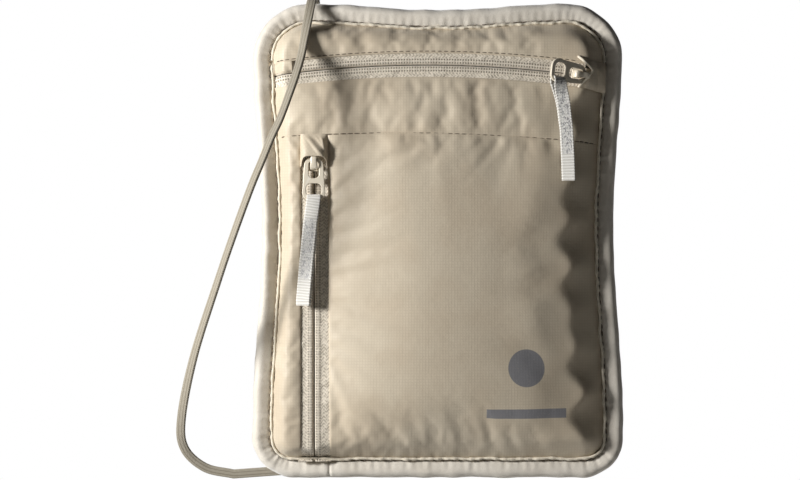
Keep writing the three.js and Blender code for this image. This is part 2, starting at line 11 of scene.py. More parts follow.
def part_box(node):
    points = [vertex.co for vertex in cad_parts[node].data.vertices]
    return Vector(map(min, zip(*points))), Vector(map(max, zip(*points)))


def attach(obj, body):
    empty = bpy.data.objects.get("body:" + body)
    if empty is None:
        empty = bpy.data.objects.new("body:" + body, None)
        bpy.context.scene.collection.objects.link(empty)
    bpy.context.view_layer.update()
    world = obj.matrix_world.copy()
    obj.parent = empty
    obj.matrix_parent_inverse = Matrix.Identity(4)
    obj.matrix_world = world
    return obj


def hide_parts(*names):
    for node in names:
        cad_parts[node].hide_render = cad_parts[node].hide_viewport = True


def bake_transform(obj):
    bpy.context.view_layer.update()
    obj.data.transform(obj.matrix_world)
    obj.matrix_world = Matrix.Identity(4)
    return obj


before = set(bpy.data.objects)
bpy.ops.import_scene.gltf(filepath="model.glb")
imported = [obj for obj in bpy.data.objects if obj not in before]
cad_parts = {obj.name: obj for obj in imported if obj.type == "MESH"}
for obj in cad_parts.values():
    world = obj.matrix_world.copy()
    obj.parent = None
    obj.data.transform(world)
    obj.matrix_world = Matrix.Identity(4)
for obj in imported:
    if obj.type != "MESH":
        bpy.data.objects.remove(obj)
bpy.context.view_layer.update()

MM = 0.001


def cad_box(node):
    """A CAD node's box in millimetres: x, depth and z ranges."""
    low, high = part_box(node)
    return (low[0] / MM, high[0] / MM), (-high[1] / MM, -low[1] / MM), (low[2] / MM, high[2] / MM)


# ---------------------------------------------------------------- sizes
HALF_W = 70.4
HALF_H = 90.0
TOP_CORNER, BOTTOM_CORNER = 22.0, 15.5
SIDE_PINCH, SIDE_REACH, TOP_PINCH, TOP_REACH = 3.6, 75.0, 2.4, 50.0
DOME, DOME_X = 4.3, -7.0  # how far the filled front swells, and where it stands highest
SEAM_INSET, SEAM_DEPTH = 7.9, 5.6  # where the front panels are sewn in
FRONT_DEPTH = 13.0
TAPE_HALF = 5.0
H_CENTRE, H_RADIUS = (-4.0, -364.0), 430.0
V_X = -46.7
SEAM_X, SEAM_TOP, SEAM_RADIUS = -15.0, 40.2, 740.0
RIPSTOP_CELL = 1.06


# ---------------------------------------------------------------- small maths
def smooth(t):
    t = np.clip(t, 0, 1)
    return t * t * (3 - 2 * t)


def dip(t):
    return np.where(np.abs(t) < 1, np.cos(np.clip(t, -1, 1) * math.pi / 2) ** 2, 0)


def unit(vectors):
    return vectors / np.linalg.norm(vectors, axis=-1, keepdims=True)


def arc_length(path):
    """The distance along a polyline at each of its points."""
    return np.r_[0, np.cumsum(np.linalg.norm(np.diff(path, axis=0), axis=1))]


def length_of(path):
    return np.linalg.norm(np.diff(path, axis=0), axis=1).sum()


def resample(points, count, closed=False):
    """The polyline again, with points evenly spaced along it."""
    p = np.vstack([points, points[:1]]) if closed else np.asarray(points, float)
    s = arc_length(p)
    at = np.linspace(0, s[-1], count, endpoint=not closed)
    return np.stack([np.interp(at, s, p[:, k]) for k in range(p.shape[1])], 1)


def spline(points, count):
    """A smooth curve through the points (Catmull-Rom), evenly spaced."""
    p = np.asarray(points, float)
    p = np.vstack([2 * p[0] - p[1], p, 2 * p[-1] - p[-2]])
    t = np.linspace(0, 1, 24, endpoint=False)[:, None]
    out = []
    for a, b, c, d in zip(p, p[1:], p[2:], p[3:]):
        square, cube = 2 * a - 5 * b + 4 * c - d, 3 * b - a - 3 * c + d
        out.append(0.5 * (2 * b + (c - a) * t + square * t**2 + cube * t**3))
    return resample(np.vstack(out + [p[-2:-1]]), count)


def waves(s, seed, longest, shortest, count=9):
    """Smooth one-dimensional noise, about -1 to 1, from sines with lengths between two limits."""
    r = np.random.default_rng(seed)
    out = np.zeros_like(s, float)
    for _ in range(count):
        length = shortest * (longest / shortest) ** r.random()
        out += np.sin(2 * math.pi * (s / length + r.random())) * (0.5 + r.random())
    return out / math.sqrt(count * 0.7)


def ripple(x, z, seed, longest, shortest):
    """Smooth two-dimensional noise, about -1 to 1, from sines that run in all directions."""
    r = np.random.default_rng(seed)
    out = np.zeros_like(x, float)
    count = 12
    for _ in range(count):
        length = shortest * (longest / shortest) ** r.random()
        turn = (r.random() - 0.5) * 2 * math.pi
        out += np.sin(2 * math.pi * ((x * math.cos(turn) + z * math.sin(turn)) / length + r.random()))
    return out / math.sqrt(count * 0.5)


# ---------------------------------------------------------------- the pouch's outline
def rim(inset, count=1800):
    """The waisted outline at a distance in from the rim: a closed loop, anticlockwise seen from the front."""
    a, b = HALF_W - inset, HALF_H - inset
    corners = []
    for sx, sz, full, start in ((1, 1, TOP_CORNER, 0), (-1, 1, TOP_CORNER, 90),
                                (-1, -1, BOTTOM_CORNER, 180), (1, -1, BOTTOM_CORNER, 270)):
        r = max(full - inset, 1.5)
        t = np.radians(start + np.linspace(0, 90, 40))
        corners.append(np.c_[sx * (a - r) + r * np.cos(t), sz * (b - r) + r * np.sin(t)])
    p = resample(np.vstack(corners), 4000, closed=True)
    x, z = p.T
    side = np.abs(x) / HALF_W * SIDE_PINCH * dip((z - 4) / SIDE_REACH)
    top = np.maximum(z, 0) / HALF_H * TOP_PINCH * dip(x / TOP_REACH)
    return resample(np.c_[x - np.sign(x) * side, z - top], count, closed=True)


SEAM = rim(SEAM_INSET, 2400)


def flat_tree(points):
    """A search tree over (x, z) points."""
    tree = KDTree(len(points))
    for i, (x, z) in enumerate(points):
        tree.insert((x, z, 0), i)
    tree.balance()
    return tree


def nearest_on(curve, x, z):
    """Distance to the curve and arc length along it, for many points."""
    tree = flat_tree(curve)
    found = [tree.find((px, pz, 0)) for px, pz in zip(np.ravel(x), np.ravel(z))]
    far = np.array([f[2] for f in found]).reshape(np.shape(x))
    return far, arc_length(curve)[np.array([f[1] for f in found])].reshape(np.shape(x))


def seam_arc(start, end):
    """The part of the seam from the point nearest start, anticlockwise, to the point nearest end."""
    i = int(np.argmin(np.linalg.norm(SEAM - start, axis=1)))
    j = int(np.argmin(np.linalg.norm(SEAM - end, axis=1)))
    if j <= i:
        j += len(SEAM)
    return SEAM[np.arange(i, j + 1) % len(SEAM)]


def h_zip(s, v):
    """The top zip's curve: s runs along it from its middle, v up across it."""
    turn = np.asarray(s) / H_RADIUS
    r = H_RADIUS + np.asarray(v)
    return H_CENTRE[0] + r * np.sin(turn), H_CENTRE[1] + r * np.cos(turn)


def v_zip(s, v):
    """The upright zip: s runs up it, v across it to the right."""
    return V_X + np.asarray(v) + 0 * np.asarray(s), np.asarray(s) + 0 * np.asarray(v)


def band_seam(x):
    return SEAM_TOP + np.sqrt(SEAM_RADIUS**2 - (x - SEAM_X) ** 2) - SEAM_RADIUS


def base_depth(x, z):
    """Depth of the front before it fills out: steep flanks at the rim and a low dome. The right flank is
    broad under the top zip, with a crisp, wavy crest."""
    far, _ = nearest_on(SEAM[::4], x, z)
    right = smooth((x - 22) / 26) * (1 - smooth((z - 50) / 11))
    left = smooth((-38 - x) / 8)
    width = 5.2 - 1.8 * left + right * (4.4 + 1.3 * smooth((z + 50) / 50) + 1.5 * waves(z, 3, 34, 15, 5))
    t = far / np.maximum(width, 3.2)
    crisp = 7 + 6 * right
    ramp = -np.log(np.exp(-crisp * t) + np.exp(-crisp)) / crisp
    # the crest stands higher in the middle of its height, and leaves the top zip's ribbon room to lie flat
    swell = 1.9 * right * smooth((z + 66) / 56) * smooth(far / 9) * (1 - 0.8 * smooth((z - 30) / 12))
    spread = np.where(x < DOME_X, 27.0, 44.0)
    dome = DOME * np.exp(-((x - DOME_X) / spread) ** 2) * smooth(far / 26) * (1 - smooth((z - 45) / 15))
    return SEAM_DEPTH + (FRONT_DEPTH - SEAM_DEPTH) * ramp + swell + dome


# ---------------------------------------------------------------- meshes
def placed(points):
    p = np.asarray(points, float).reshape(-1, 3)
    return np.c_[p[:, 0], -p[:, 1], p[:, 2]] * MM


def add_object(name, data):
    obj = bpy.data.objects.new(name, data)
    bpy.context.scene.collection.objects.link(obj)
    return obj


def make_piece(name, shape, material, slot, *nodes, body="pouch", subdivided=False, sharp=None):
    """One piece of the object. shape is (points, faces) or (points, faces, weave): points are (x, depth, z),
    and weave is a position on the cloth, for the materials. slot is not used. The piece stands for the CAD
    nodes named and rides on a body. Edges sharper than sharp, in degrees, stay sharp."""
    mesh = bpy.data.meshes.new(name)
    mesh.from_pydata(placed(shape[0]).tolist(), [], [tuple(int(i) for i in f) for f in shape[1]])
    if len(shape) > 2:
        w = np.zeros((len(mesh.vertices), 3), np.float32)
        w[:, :2] = np.asarray(shape[2], float).reshape(-1, 2)
        mesh.attributes.new("weave", "FLOAT_VECTOR", "POINT").data.foreach_set("vector", w.ravel())
    mesh.polygons.foreach_set("use_smooth", [True] * len(mesh.polygons))
    mesh.materials.append(material)
    obj = add_object(name, mesh)
    if subdivided:
        subdivide(obj)
    if sharp is not None:
        mesh.set_sharp_from_angle(angle=math.radians(sharp))
    if body:
        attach(obj, body)
    if nodes:
        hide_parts(*nodes)
    return obj


def subdivide(obj):
    """One level of subdivision, made part of the mesh."""
    mod = obj.modifiers.new("smooth", "SUBSURF")
    mod.levels = mod.render_levels = 1
    dg = bpy.context.evaluated_depsgraph_get()
    mesh = bpy.data.meshes.new_from_object(obj.evaluated_get(dg), preserve_all_data_layers=True, depsgraph=dg)
    obj.modifiers.clear()
    obj.data = mesh


def grid_faces(rows, columns, wrap_rows=False, wrap_columns=False, flip=False):
    """The quads of a grid of points; wrapping joins its last row or column to its first."""
    across, down = np.arange(columns - (not wrap_columns)), np.arange(rows - (not wrap_rows))
    i, j = np.meshgrid(down, across, indexing="ij")
    i, j = i.ravel(), j.ravel()
    i2, j2 = (i + 1) % rows, (j + 1) % columns
    quads = np.stack([i * columns + j, i * columns + j2, i2 * columns + j2, i2 * columns + j], 1)
    return quads[:, ::-1] if flip else quads


def sheet(grid, weave=None, **wrapping):
    """A grid of points as a shape. Its weave is its (x, z) if none is given."""
    return grid, grid_faces(*grid.shape[:2], **wrapping), grid[..., [0, 2]] if weave is None else weave


def merged(shapes):
    """Several shapes' points and faces as one."""
    points, faces, start = [], [], 0
    for shape in shapes:
        points.append(shape[0])
        faces += [tuple(int(i) + start for i in f) for f in shape[1]]
        start += len(shape[0])
    return np.vstack(points), faces


def sweep(path, across, up, section, closed=False):
    """A section of (across, up) points carried along a path with given frames, its ends capped if it has any."""
    path, across, up = (np.asarray(a, float) for a in (path, across, up))
    section = np.asarray(section, float)
    if section.ndim == 2:
        section = np.broadcast_to(section, (len(path),) + section.shape)
    points = path[:, None] + across[:, None] * section[..., :1] + up[:, None] * section[..., 1:]
    rows, columns = points.shape[:2]
    faces = [tuple(f) for f in grid_faces(rows, columns, wrap_rows=closed, wrap_columns=True)]
    if not closed:
        faces += [tuple(range(columns))[::-1], tuple(range((rows - 1) * columns, rows * columns))]
    weave = np.stack(np.broadcast_arrays(arc_length(path)[:, None], arc_length(section[0])[None]), -1)
    return points.reshape(-1, 3), faces, weave.reshape(-1, 2)


def curve_frames(path, facing):
    """Across and up directions along a path, with up as near to facing as it can be."""
    path, facing = np.asarray(path, float), np.asarray(facing, float)
    tangent = unit(np.gradient(path, axis=0))
    facing = np.broadcast_to(facing, path.shape)
    up = unit(facing - (facing * tangent).sum(1, keepdims=True) * tangent)
    return np.cross(tangent, up), up


def ellipse(half_across, half_up, steps=12, square=1.0):
    t = np.linspace(0, 2 * math.pi, steps, endpoint=False)
    bend = lambda v: np.sign(v) * np.abs(v) ** square
    return np.c_[half_across * bend(np.cos(t)), half_up * bend(np.sin(t))]


THREAD_FLATNESS = 0.7  # a stitch's height for its width


def threads(path, facing, pitch, length, radius, lift=0.0, jitter=0.1, seed=1, along=None):
    """A row of short stitches along a path, one small rounded capsule each. along is the distance at each
    path point; it is measured along the path if it isn't given."""
    r = np.random.default_rng(seed)
    path = np.asarray(path, float)
    s = arc_length(path) if along is None else along
    starts = np.arange(s[0] + pitch / 2, s[-1] - length, pitch)
    starts = starts + (r.random(len(starts)) - 0.5) * pitch * jitter
    facing = np.broadcast_to(np.asarray(facing, float), path.shape)
    at = lambda v, where: np.stack([np.interp(where, s, v[:, k]) for k in range(3)], 1)
    a, b, face = at(path, starts), at(path, starts + length), at(facing, starts)
    along = unit(b - a)
    side = unit(np.cross(along, face))
    up = np.cross(side, along)
    rings = [(-1, 0.02), (-0.86, 0.62), (-0.5, 0.95), (0, 1.0), (0.5, 0.95), (0.86, 0.62), (1, 0.02)]
    turn = np.linspace(0, 2 * math.pi, 6, endpoint=False)
    middle = (a + b) / 2 + up * lift
    out = []
    for t, size in rings:
        spot = middle + along * (t * length / 2) - up * (0.5 * radius * t * t)
        for c in turn:
            out.append(spot + side * (radius * size * math.cos(c))
                       + up * (radius * THREAD_FLATNESS * size * math.sin(c)))
    points = np.stack(out, 1)
    quads = grid_faces(len(rings), len(turn), wrap_columns=True)
    count = len(rings) * len(turn)
    faces = (quads[None] + (np.arange(len(points)) * count)[:, None, None]).reshape(-1, 4)
    return points.reshape(-1, 3), faces


# ---------------------------------------------------------------- materials
class Nodes:
    """Short helpers for building one material's node tree."""

    def __init__(self, name, roughness=0.5, sheen=0.0, metallic=0.0, specular=0.4):
        self.material = bpy.data.materials.new(name)
        self.material.use_nodes = True
        self.tree = self.material.node_tree
        self.shader = self.tree.nodes["Principled BSDF"]
        for key, value in (("Roughness", roughness), ("Metallic", metallic), ("Specular IOR Level", specular),
                           ("Sheen Weight", sheen), ("Sheen Roughness", 0.5)):
            self.shader.inputs[key].default_value = value
        self.heights = None

    def new(self, kind, **settings):
        node = self.tree.nodes.new(kind)
        for key, value in settings.items():
            setattr(node, key, value)
        return node

    def link(self, value, socket):
        if isinstance(value, (int, float, tuple)):
            socket.default_value = value
        else:
            self.tree.links.new(value, socket)

    def math(self, operation, *values):
        node = self.new("ShaderNodeMath", operation=operation)
        for value, socket in zip(values, node.inputs):
            self.link(value, socket)
        return node.outputs[0]

    def times(self, a, b):
        return self.math("MULTIPLY", a, b)

    def off(self, value, middle):
        """How far the value is from a middle."""
        return self.math("ABSOLUTE", self.math("SUBTRACT", value, middle))

    def weave(self):
        split = self.new("ShaderNodeSeparateXYZ")
        self.link(self.new("ShaderNodeAttribute", attribute_name="weave").outputs["Vector"], split.inputs[0])
        return split.outputs[0], split.outputs[1]

    def spot(self):
        """Position on the object, in millimetres."""
        scale = self.new("ShaderNodeVectorMath", operation="SCALE")
        self.link(self.new("ShaderNodeTexCoord").outputs["Object"], scale.inputs[0])
        scale.inputs["Scale"].default_value = 1000.0
        return scale.outputs[0]

    def noise(self, scale, detail=2.0, vector=None, rough=0.5):
        node = self.new("ShaderNodeTexNoise")
        self.link(vector if vector is not None else self.spot(), node.inputs["Vector"])
        node.inputs["Scale"].default_value = scale
        node.inputs["Detail"].default_value = detail
        node.inputs["Roughness"].default_value = rough
        return node.outputs[0]

    def stripes(self, value, period, width, softness):
        """1 on thin lines every period, 0 between; width is a share of the period."""
        part = self.math("FRACT", self.math("DIVIDE", value, period))
        return self.ramp(self.off(part, 0.5), width / 2, width / 2 + softness, 1, 0)

    def wave(self, value, period):
        """A sine of the value, 0 to 1."""
        turn = self.times(value, 2 * math.pi / period)
        return self.math("MULTIPLY_ADD", self.math("SINE", turn), 0.5, 0.5)

    def ramp(self, value, low, high, start=0.0, end=1.0):
        node = self.new("ShaderNodeMapRange", interpolation_type="SMOOTHSTEP")
        self.link(value, node.inputs["Value"])
        for key, v in (("From Min", low), ("From Max", high), ("To Min", start), ("To Max", end)):
            node.inputs[key].default_value = v
        return node.outputs[0]

    def mix(self, amount, a, b):
        node = self.new("ShaderNodeMix", data_type="RGBA")
        self.link(amount, node.inputs["Factor"])
        for value, socket in ((a, node.inputs[6]), (b, node.inputs[7])):
            self.link((*value, 1) if isinstance(value, tuple) else value, socket)
        return node.outputs[2]

    def colour(self, value):
        self.link(value, self.shader.inputs["Base Color"])

    def rough(self, value):
        self.link(value, self.shader.inputs["Roughness"])

    def bump(self, height, distance_mm, strength=1.0):
        node = self.new("ShaderNodeBump")
        node.inputs["Strength"].default_value = strength
        node.inputs["Distance"].default_value = distance_mm * MM
        self.link(height, node.inputs["Height"])
        if self.heights is not None:
            self.link(self.heights, node.inputs["Normal"])
        self.heights = node.outputs[0]
        self.link(self.heights, self.shader.inputs["Normal"])


def srgb(*values):
    """A colour as it looks on screen, 0 to 255, in the linear values that a shader takes. None is near black."""
    return tuple(((v / 255 + 0.055) / 1.055) ** 2.4 for v in values)


BEIGE = srgb(203, 190, 168)
BEIGE_DARK = srgb(178, 164, 142)
KNIT = srgb(224, 217, 205)
KNIT_DARK = srgb(198, 190, 176)
TAPE = srgb(226, 216, 199)
TAPE_DARK = srgb(140, 128, 108)
GREY = srgb(122, 122, 126)


def ripstop(name, print_mark=False):
    """Ripstop nylon: a fine weave with a thicker thread every RIPSTOP_CELL both ways."""
    n = Nodes(name, sheen=0.15, specular=0.35)
    u, v = n.weave()
    lines = n.math("MAXIMUM", n.stripes(u, RIPSTOP_CELL, 0.16, 0.12), n.stripes(v, RIPSTOP_CELL, 0.16, 0.12))
    thread = 0.26
    fine = n.times(n.wave(u, thread), n.wave(v, thread))
    cloud = n.noise(0.05, 3)
    base = n.mix(n.ramp(cloud, 0.35, 0.7), BEIGE, srgb(196, 181, 158))
    base = n.mix(n.times(lines, 0.22), base, BEIGE_DARK)
    if print_mark:
        base = print_colour(n, base, u, v)
    n.colour(base)
    n.rough(n.math("ADD", n.ramp(cloud, 0.2, 0.8, 0.44, 0.56), n.times(lines, 0.08)))
    n.bump(fine, 0.03, 0.35)
    n.bump(lines, 0.05, 0.3)
    n.bump(n.noise(0.35, 3), 0.25, 0.25)
    return n.material


def print_colour(n, base, u, v):
    """A plain disc over a plain bar, placed as the CAD's two printed nodes are."""
    (x0, x1), _, (z0, z1) = cad_box("printed_disc")
    centre_x, centre_z, radius = (x0 + x1) / 2, (z0 + z1) / 2, (z1 - z0) / 2
    blur = 0.12
    du, dv = n.math("SUBTRACT", u, centre_x), n.math("SUBTRACT", v, centre_z)
    far = n.math("SQRT", n.math("ADD", n.times(du, du), n.times(dv, dv)))
    disc = n.ramp(far, radius - blur, radius + blur, 1, 0)
    (x0, x1), _, (z0, z1) = cad_box("printed_bar")
    out_x = n.math("SUBTRACT", n.off(u, (x0 + x1) / 2), (x1 - x0) / 2)
    out_z = n.math("SUBTRACT", n.off(v, (z0 + z1) / 2), (z1 - z0) / 2)
    bar = n.ramp(n.math("MAXIMUM", out_x, out_z), -blur, blur, 1, 0)
    worn = n.ramp(n.noise(1.3, 4), 0.25, 0.45, 0.82, 0.95)
    return n.mix(n.times(n.math("MAXIMUM", disc, bar), worn), base, GREY)


def knit(name):
    """Brushed knit."""
    n = Nodes(name, 0.95, sheen=0.5, specular=0.15)
    fuzz = n.noise(2.2, 5, rough=0.7)
    cloud = n.noise(0.09, 3)
    base = n.mix(n.ramp(cloud, 0.3, 0.7), KNIT, srgb(214, 206, 193))
    n.colour(n.mix(n.ramp(fuzz, 0.3, 0.75, 0.0, 0.5), base, KNIT_DARK))
    n.bump(fuzz, 0.22, 0.5)
    n.bump(n.noise(0.5, 3), 0.4, 0.3)
    return n.material


STITCH_ROWS = (0.95, 2.1)  # each coil's two rows of stitches, out from the slit
STITCH_PITCH = 1.0


def tape(name):
    """Herringbone tape; weave is (along, across from the middle of the zip)."""
    n = Nodes(name, 0.8, sheen=0.3, specular=0.25)
    u, v = n.weave()
    side = n.math("PINGPONG", v, 0.95)
    slant = n.math("ADD", u, n.times(side, 1.2))
    across = n.math("ABSOLUTE", v)
    outer = n.ramp(across, 2.5, 2.9, 0.25, 1.0)
    speckle = n.ramp(n.noise(1.1, 3), 0.42, 0.58)
    rib = n.times(n.wave(slant, 1.3), n.times(outer, n.ramp(speckle, 0, 1, 0.45, 1)))
    near_row = [n.ramp(n.off(across, at), 0.22, 0.4, 1, 0) for at in STITCH_ROWS]
    rows = n.math("MAXIMUM", *near_row)
    holes = n.times(rows, n.stripes(n.math("ADD", u, 0.25), STITCH_PITCH, 0.44, 0.12))
    base = n.mix(n.times(rib, 0.6), TAPE, TAPE_DARK)
    base = n.mix(n.times(speckle, 0.2), base, srgb(120, 108, 90))
    # painted shade: the stitch rows are darkened a little, and the holes between stitches are painted dark brown
    # as the shade in them
    base = n.mix(n.times(rows, 0.12), base, TAPE_DARK)
    base = n.mix(n.times(holes, 0.85), base, srgb(80, 68, 54))
    n.colour(base)
    n.bump(rib, 0.12, 0.7)
    n.bump(holes, 0.2, -0.8)
    n.bump(n.noise(1.5, 4), 0.1, 0.4)
    return n.material


def plain_cloth(name, colour, shade, period=0.5):
    n = Nodes(name, 0.8, sheen=0.3, specular=0.3)
    fuzz = n.noise(1.6, 5, rough=0.7)
    n.colour(n.mix(n.ramp(fuzz, 0.3, 0.75, 0, 0.6), colour, shade))
    n.bump(n.wave(n.weave()[0], period), 0.05, 0.5)
    n.bump(fuzz, 0.15, 0.4)
    return n.material


def painted_metal(name):
    """Painted metal, paler where its edges are rubbed."""
    n = Nodes(name, metallic=0.05, specular=0.55)
    worn = n.ramp(n.noise(1.1, 5, rough=0.65), 0.56, 0.72)
    edge = n.ramp(n.new("ShaderNodeNewGeometry").outputs["Pointiness"], 0.53, 0.6)
    base = n.mix(n.times(n.noise(0.6, 2), 0.35), srgb(224, 214, 195), srgb(206, 194, 172))
    n.colour(n.mix(n.times(edge, 0.5), base, srgb(240, 234, 220)))
    n.rough(n.math("ADD", 0.3, n.times(worn, 0.14)))
    n.bump(n.noise(2.5, 3), 0.04, 0.3)
    return n.material


RIB = 1.05  # cross ribs of the pull ribbons


def grosgrain(name, stripe_end, speck_tone):
    """Ribbed ribbon with a speckled foil stripe that ends at a distance from the cut end; weave is (distance
    from the cut end, distance across from the middle)."""
    light, silver = srgb(236, 233, 226), srgb(224, 222, 219)
    n = Nodes(name, sheen=0.3, specular=0.35)
    u, v = n.weave()
    rib = n.wave(u, RIB)
    grain = n.new("ShaderNodeTexVoronoi", voronoi_dimensions="2D")
    stretch = n.new("ShaderNodeCombineXYZ")
    n.link(n.times(u, 1.1), stretch.inputs[0])
    n.link(n.times(v, 2.6), stretch.inputs[1])
    n.link(stretch.outputs[0], grain.inputs["Vector"])
    grain.inputs["Scale"].default_value = 1.0
    speck = n.ramp(grain.outputs["Distance"], 0.25, 0.5)
    middle = n.ramp(n.math("ABSOLUTE", v), 1.65, 1.9, 1, 0)
    stretch_of = n.times(n.ramp(u, 9.5, 10.5), n.ramp(u, stripe_end, stripe_end + 1.0, 1, 0))
    stripe = n.times(middle, stretch_of)
    base = n.mix(n.ramp(rib, 0.2, 0.8, 0.0, 0.45), light, srgb(186, 180, 168))
    patch = n.ramp(n.noise(0.8, 3), 0.44, 0.54)
    foil = n.mix(n.times(speck, 0.75), silver, speck_tone)
    foil = n.mix(n.times(patch, 0.75), foil, light)
    n.colour(n.mix(stripe, base, foil))
    n.rough(n.math("SUBTRACT", 0.72, n.times(stripe, 0.3)))
    n.bump(rib, 0.16, 0.8)
    n.bump(n.times(speck, stripe), 0.1, 0.6)
    return n.material


def braid(name):
    """Flat braided elastic with two sunk lines; weave is (along, across from the middle)."""
    n = Nodes(name, 0.72, sheen=0.15, specular=0.3)
    u, v = n.weave()
    lean = n.times(v, 1.3)
    plait = n.times(n.wave(n.math("ADD", u, lean), 0.9), n.wave(n.math("SUBTRACT", u, lean), 0.9))
    fuzz = n.noise(1.3, 4)
    base = n.mix(n.ramp(plait, 0, 0.6, 0.4, 0), srgb(162, 154, 138), srgb(114, 106, 90))
    base = n.mix(n.ramp(fuzz, 0.35, 0.75, 0, 0.3), base, srgb(178, 171, 157))
    # the two sunk lines are painted dark brown as the shade in them
    lines = n.ramp(n.off(n.math("ABSOLUTE", v), 0.62), 0.06, 0.22, 1, 0)
    n.colour(n.mix(n.times(lines, 0.6), base, srgb(96, 86, 70)))
    n.bump(lines, 0.15, -0.6)
    n.bump(plait, 0.1, 0.6)
    n.bump(fuzz, 0.1, 0.3)
    return n.material


def twisted_thread(name, colour, shade):
    n = Nodes(name, 0.6, sheen=0.2, specular=0.35)
    fuzz = n.noise(3.0, 3)
    n.colour(n.mix(fuzz, colour, shade))
    n.bump(fuzz, 0.05, 0.5)
    return n.material


def nylon(name):
    """The zips' coils."""
    n = Nodes(name, specular=0.5)
    n.colour(n.mix(n.noise(0.8, 3), srgb(172, 160, 138), srgb(150, 138, 116)))
    n.rough(n.ramp(n.noise(1.2, 2), 0.3, 0.7, 0.35, 0.5))
    n.bump(n.noise(1.5, 3), 0.06, 0.4)
    return n.material


RIPSTOP = ripstop("ripstop")
RIPSTOP_PRINTED = ripstop("ripstop_printed", print_mark=True)
KNIT_CLOTH = knit("knit")
TAPE_CLOTH = tape("zip_tape")
PIPING_CLOTH = plain_cloth("piping", srgb(224, 215, 196), srgb(198, 186, 164), 0.6)
# the folded lip is the ripstop painted paler: a painted highlight where the light catches its edge
FOLD_PAINTED_HIGHLIGHT = plain_cloth("fold", srgb(232, 222, 202), srgb(208, 196, 174), 0.6)
LINING_CLOTH = plain_cloth("lining", srgb(170, 159, 140), srgb(148, 138, 120))
FOAM = plain_cloth("foam", srgb(228, 224, 214), srgb(206, 200, 188))
METAL = painted_metal("painted_metal")
CORD = braid("braid")
THREAD = twisted_thread("thread", srgb(196, 184, 162), srgb(168, 154, 132))
# dark stitch thread: painted shade, standing for the shade in seam grooves and stitch holes
THREAD_PAINTED_SHADE = twisted_thread("thread_painted_shade", srgb(112, 97, 79), srgb(84, 71, 56))
THREAD_LIGHT = twisted_thread("thread_light", srgb(208, 199, 182), srgb(180, 170, 150))
COIL = nylon("coil_nylon")


# ---------------------------------------------------------------- front panels
HEM = [(0.35, 0.35), (0.30, 0.85), (-1.3, 1.15)]  # a folded edge: (outwards, down) for each extra row
TUCK = [(0.5, 0.45), (0.8, 1.1), (1.0, 1.8)]  # an edge that runs down under the piping


def coons(bottom, top, left, right, rows, columns):
    """A grid of (x, z) points filling the region between four curves."""
    b, t = resample(bottom, columns), resample(top, columns)
    l, r = resample(left, rows), resample(right, rows)
    u, v = np.linspace(0, 1, columns)[None, :, None], np.linspace(0, 1, rows)[:, None, None]
    return ((1 - v) * b[None] + v * t[None] + (1 - u) * l[:, None] + u * r[:, None]
            - (1 - u) * (1 - v) * b[0] - u * (1 - v) * b[-1] - (1 - u) * v * t[0] - u * v * t[-1])


def gathers(x, z, curve, seed, spacing, height, length, width):
    """Soft puckers that start at a seam and fade out into the cloth."""
    far, s = nearest_on(curve, x, z)
    r = np.random.default_rng(seed)
    out = np.zeros_like(x)
    for at in np.arange(spacing / 2, length_of(curve), spacing):
        at += (r.random() - 0.5) * spacing * 1.2
        w = width * (0.6 + 0.9 * r.random())
        run = length * (0.4 + 1.2 * r.random() ** 2)
        slant = (r.random() - 0.5) * 0.7
        size = height * (0.4 + 0.9 * r.random()) * (1 if r.random() < 0.5 else -1)
        spread = w * (1 + far / run * 0.9)
        out += size * np.exp(-((s - at - slant * far) / spread) ** 2) * np.exp(-far / run) * smooth(far / 1.4)
    return out


def panel_grid(bottom, top, left, right, step):
    width, height = (max(length_of(curve) for curve in pair) for pair in ((bottom, top), (left, right)))
    return coons(bottom, top, left, right, int(height / step) + 1, int(width / step) + 1)


LIMIT = 4.0  # the furthest the simulation may move a point
SIM_SCALE, SIM_STEPS = 10, 22


def taut(moved, share):
    """The movement with its small wrinkles smoothed out where share is 1, as in cloth pulled tight."""
    soft = moved.copy()
    for _ in range(40):
        soft[1:-1] = (soft[:-2] + 2 * soft[1:-1] + soft[2:]) / 4
        soft[:, 1:-1] = (soft[:, :-2] + 2 * soft[:, 1:-1] + soft[:, 2:]) / 4
    return moved * (1 - share) + soft * share


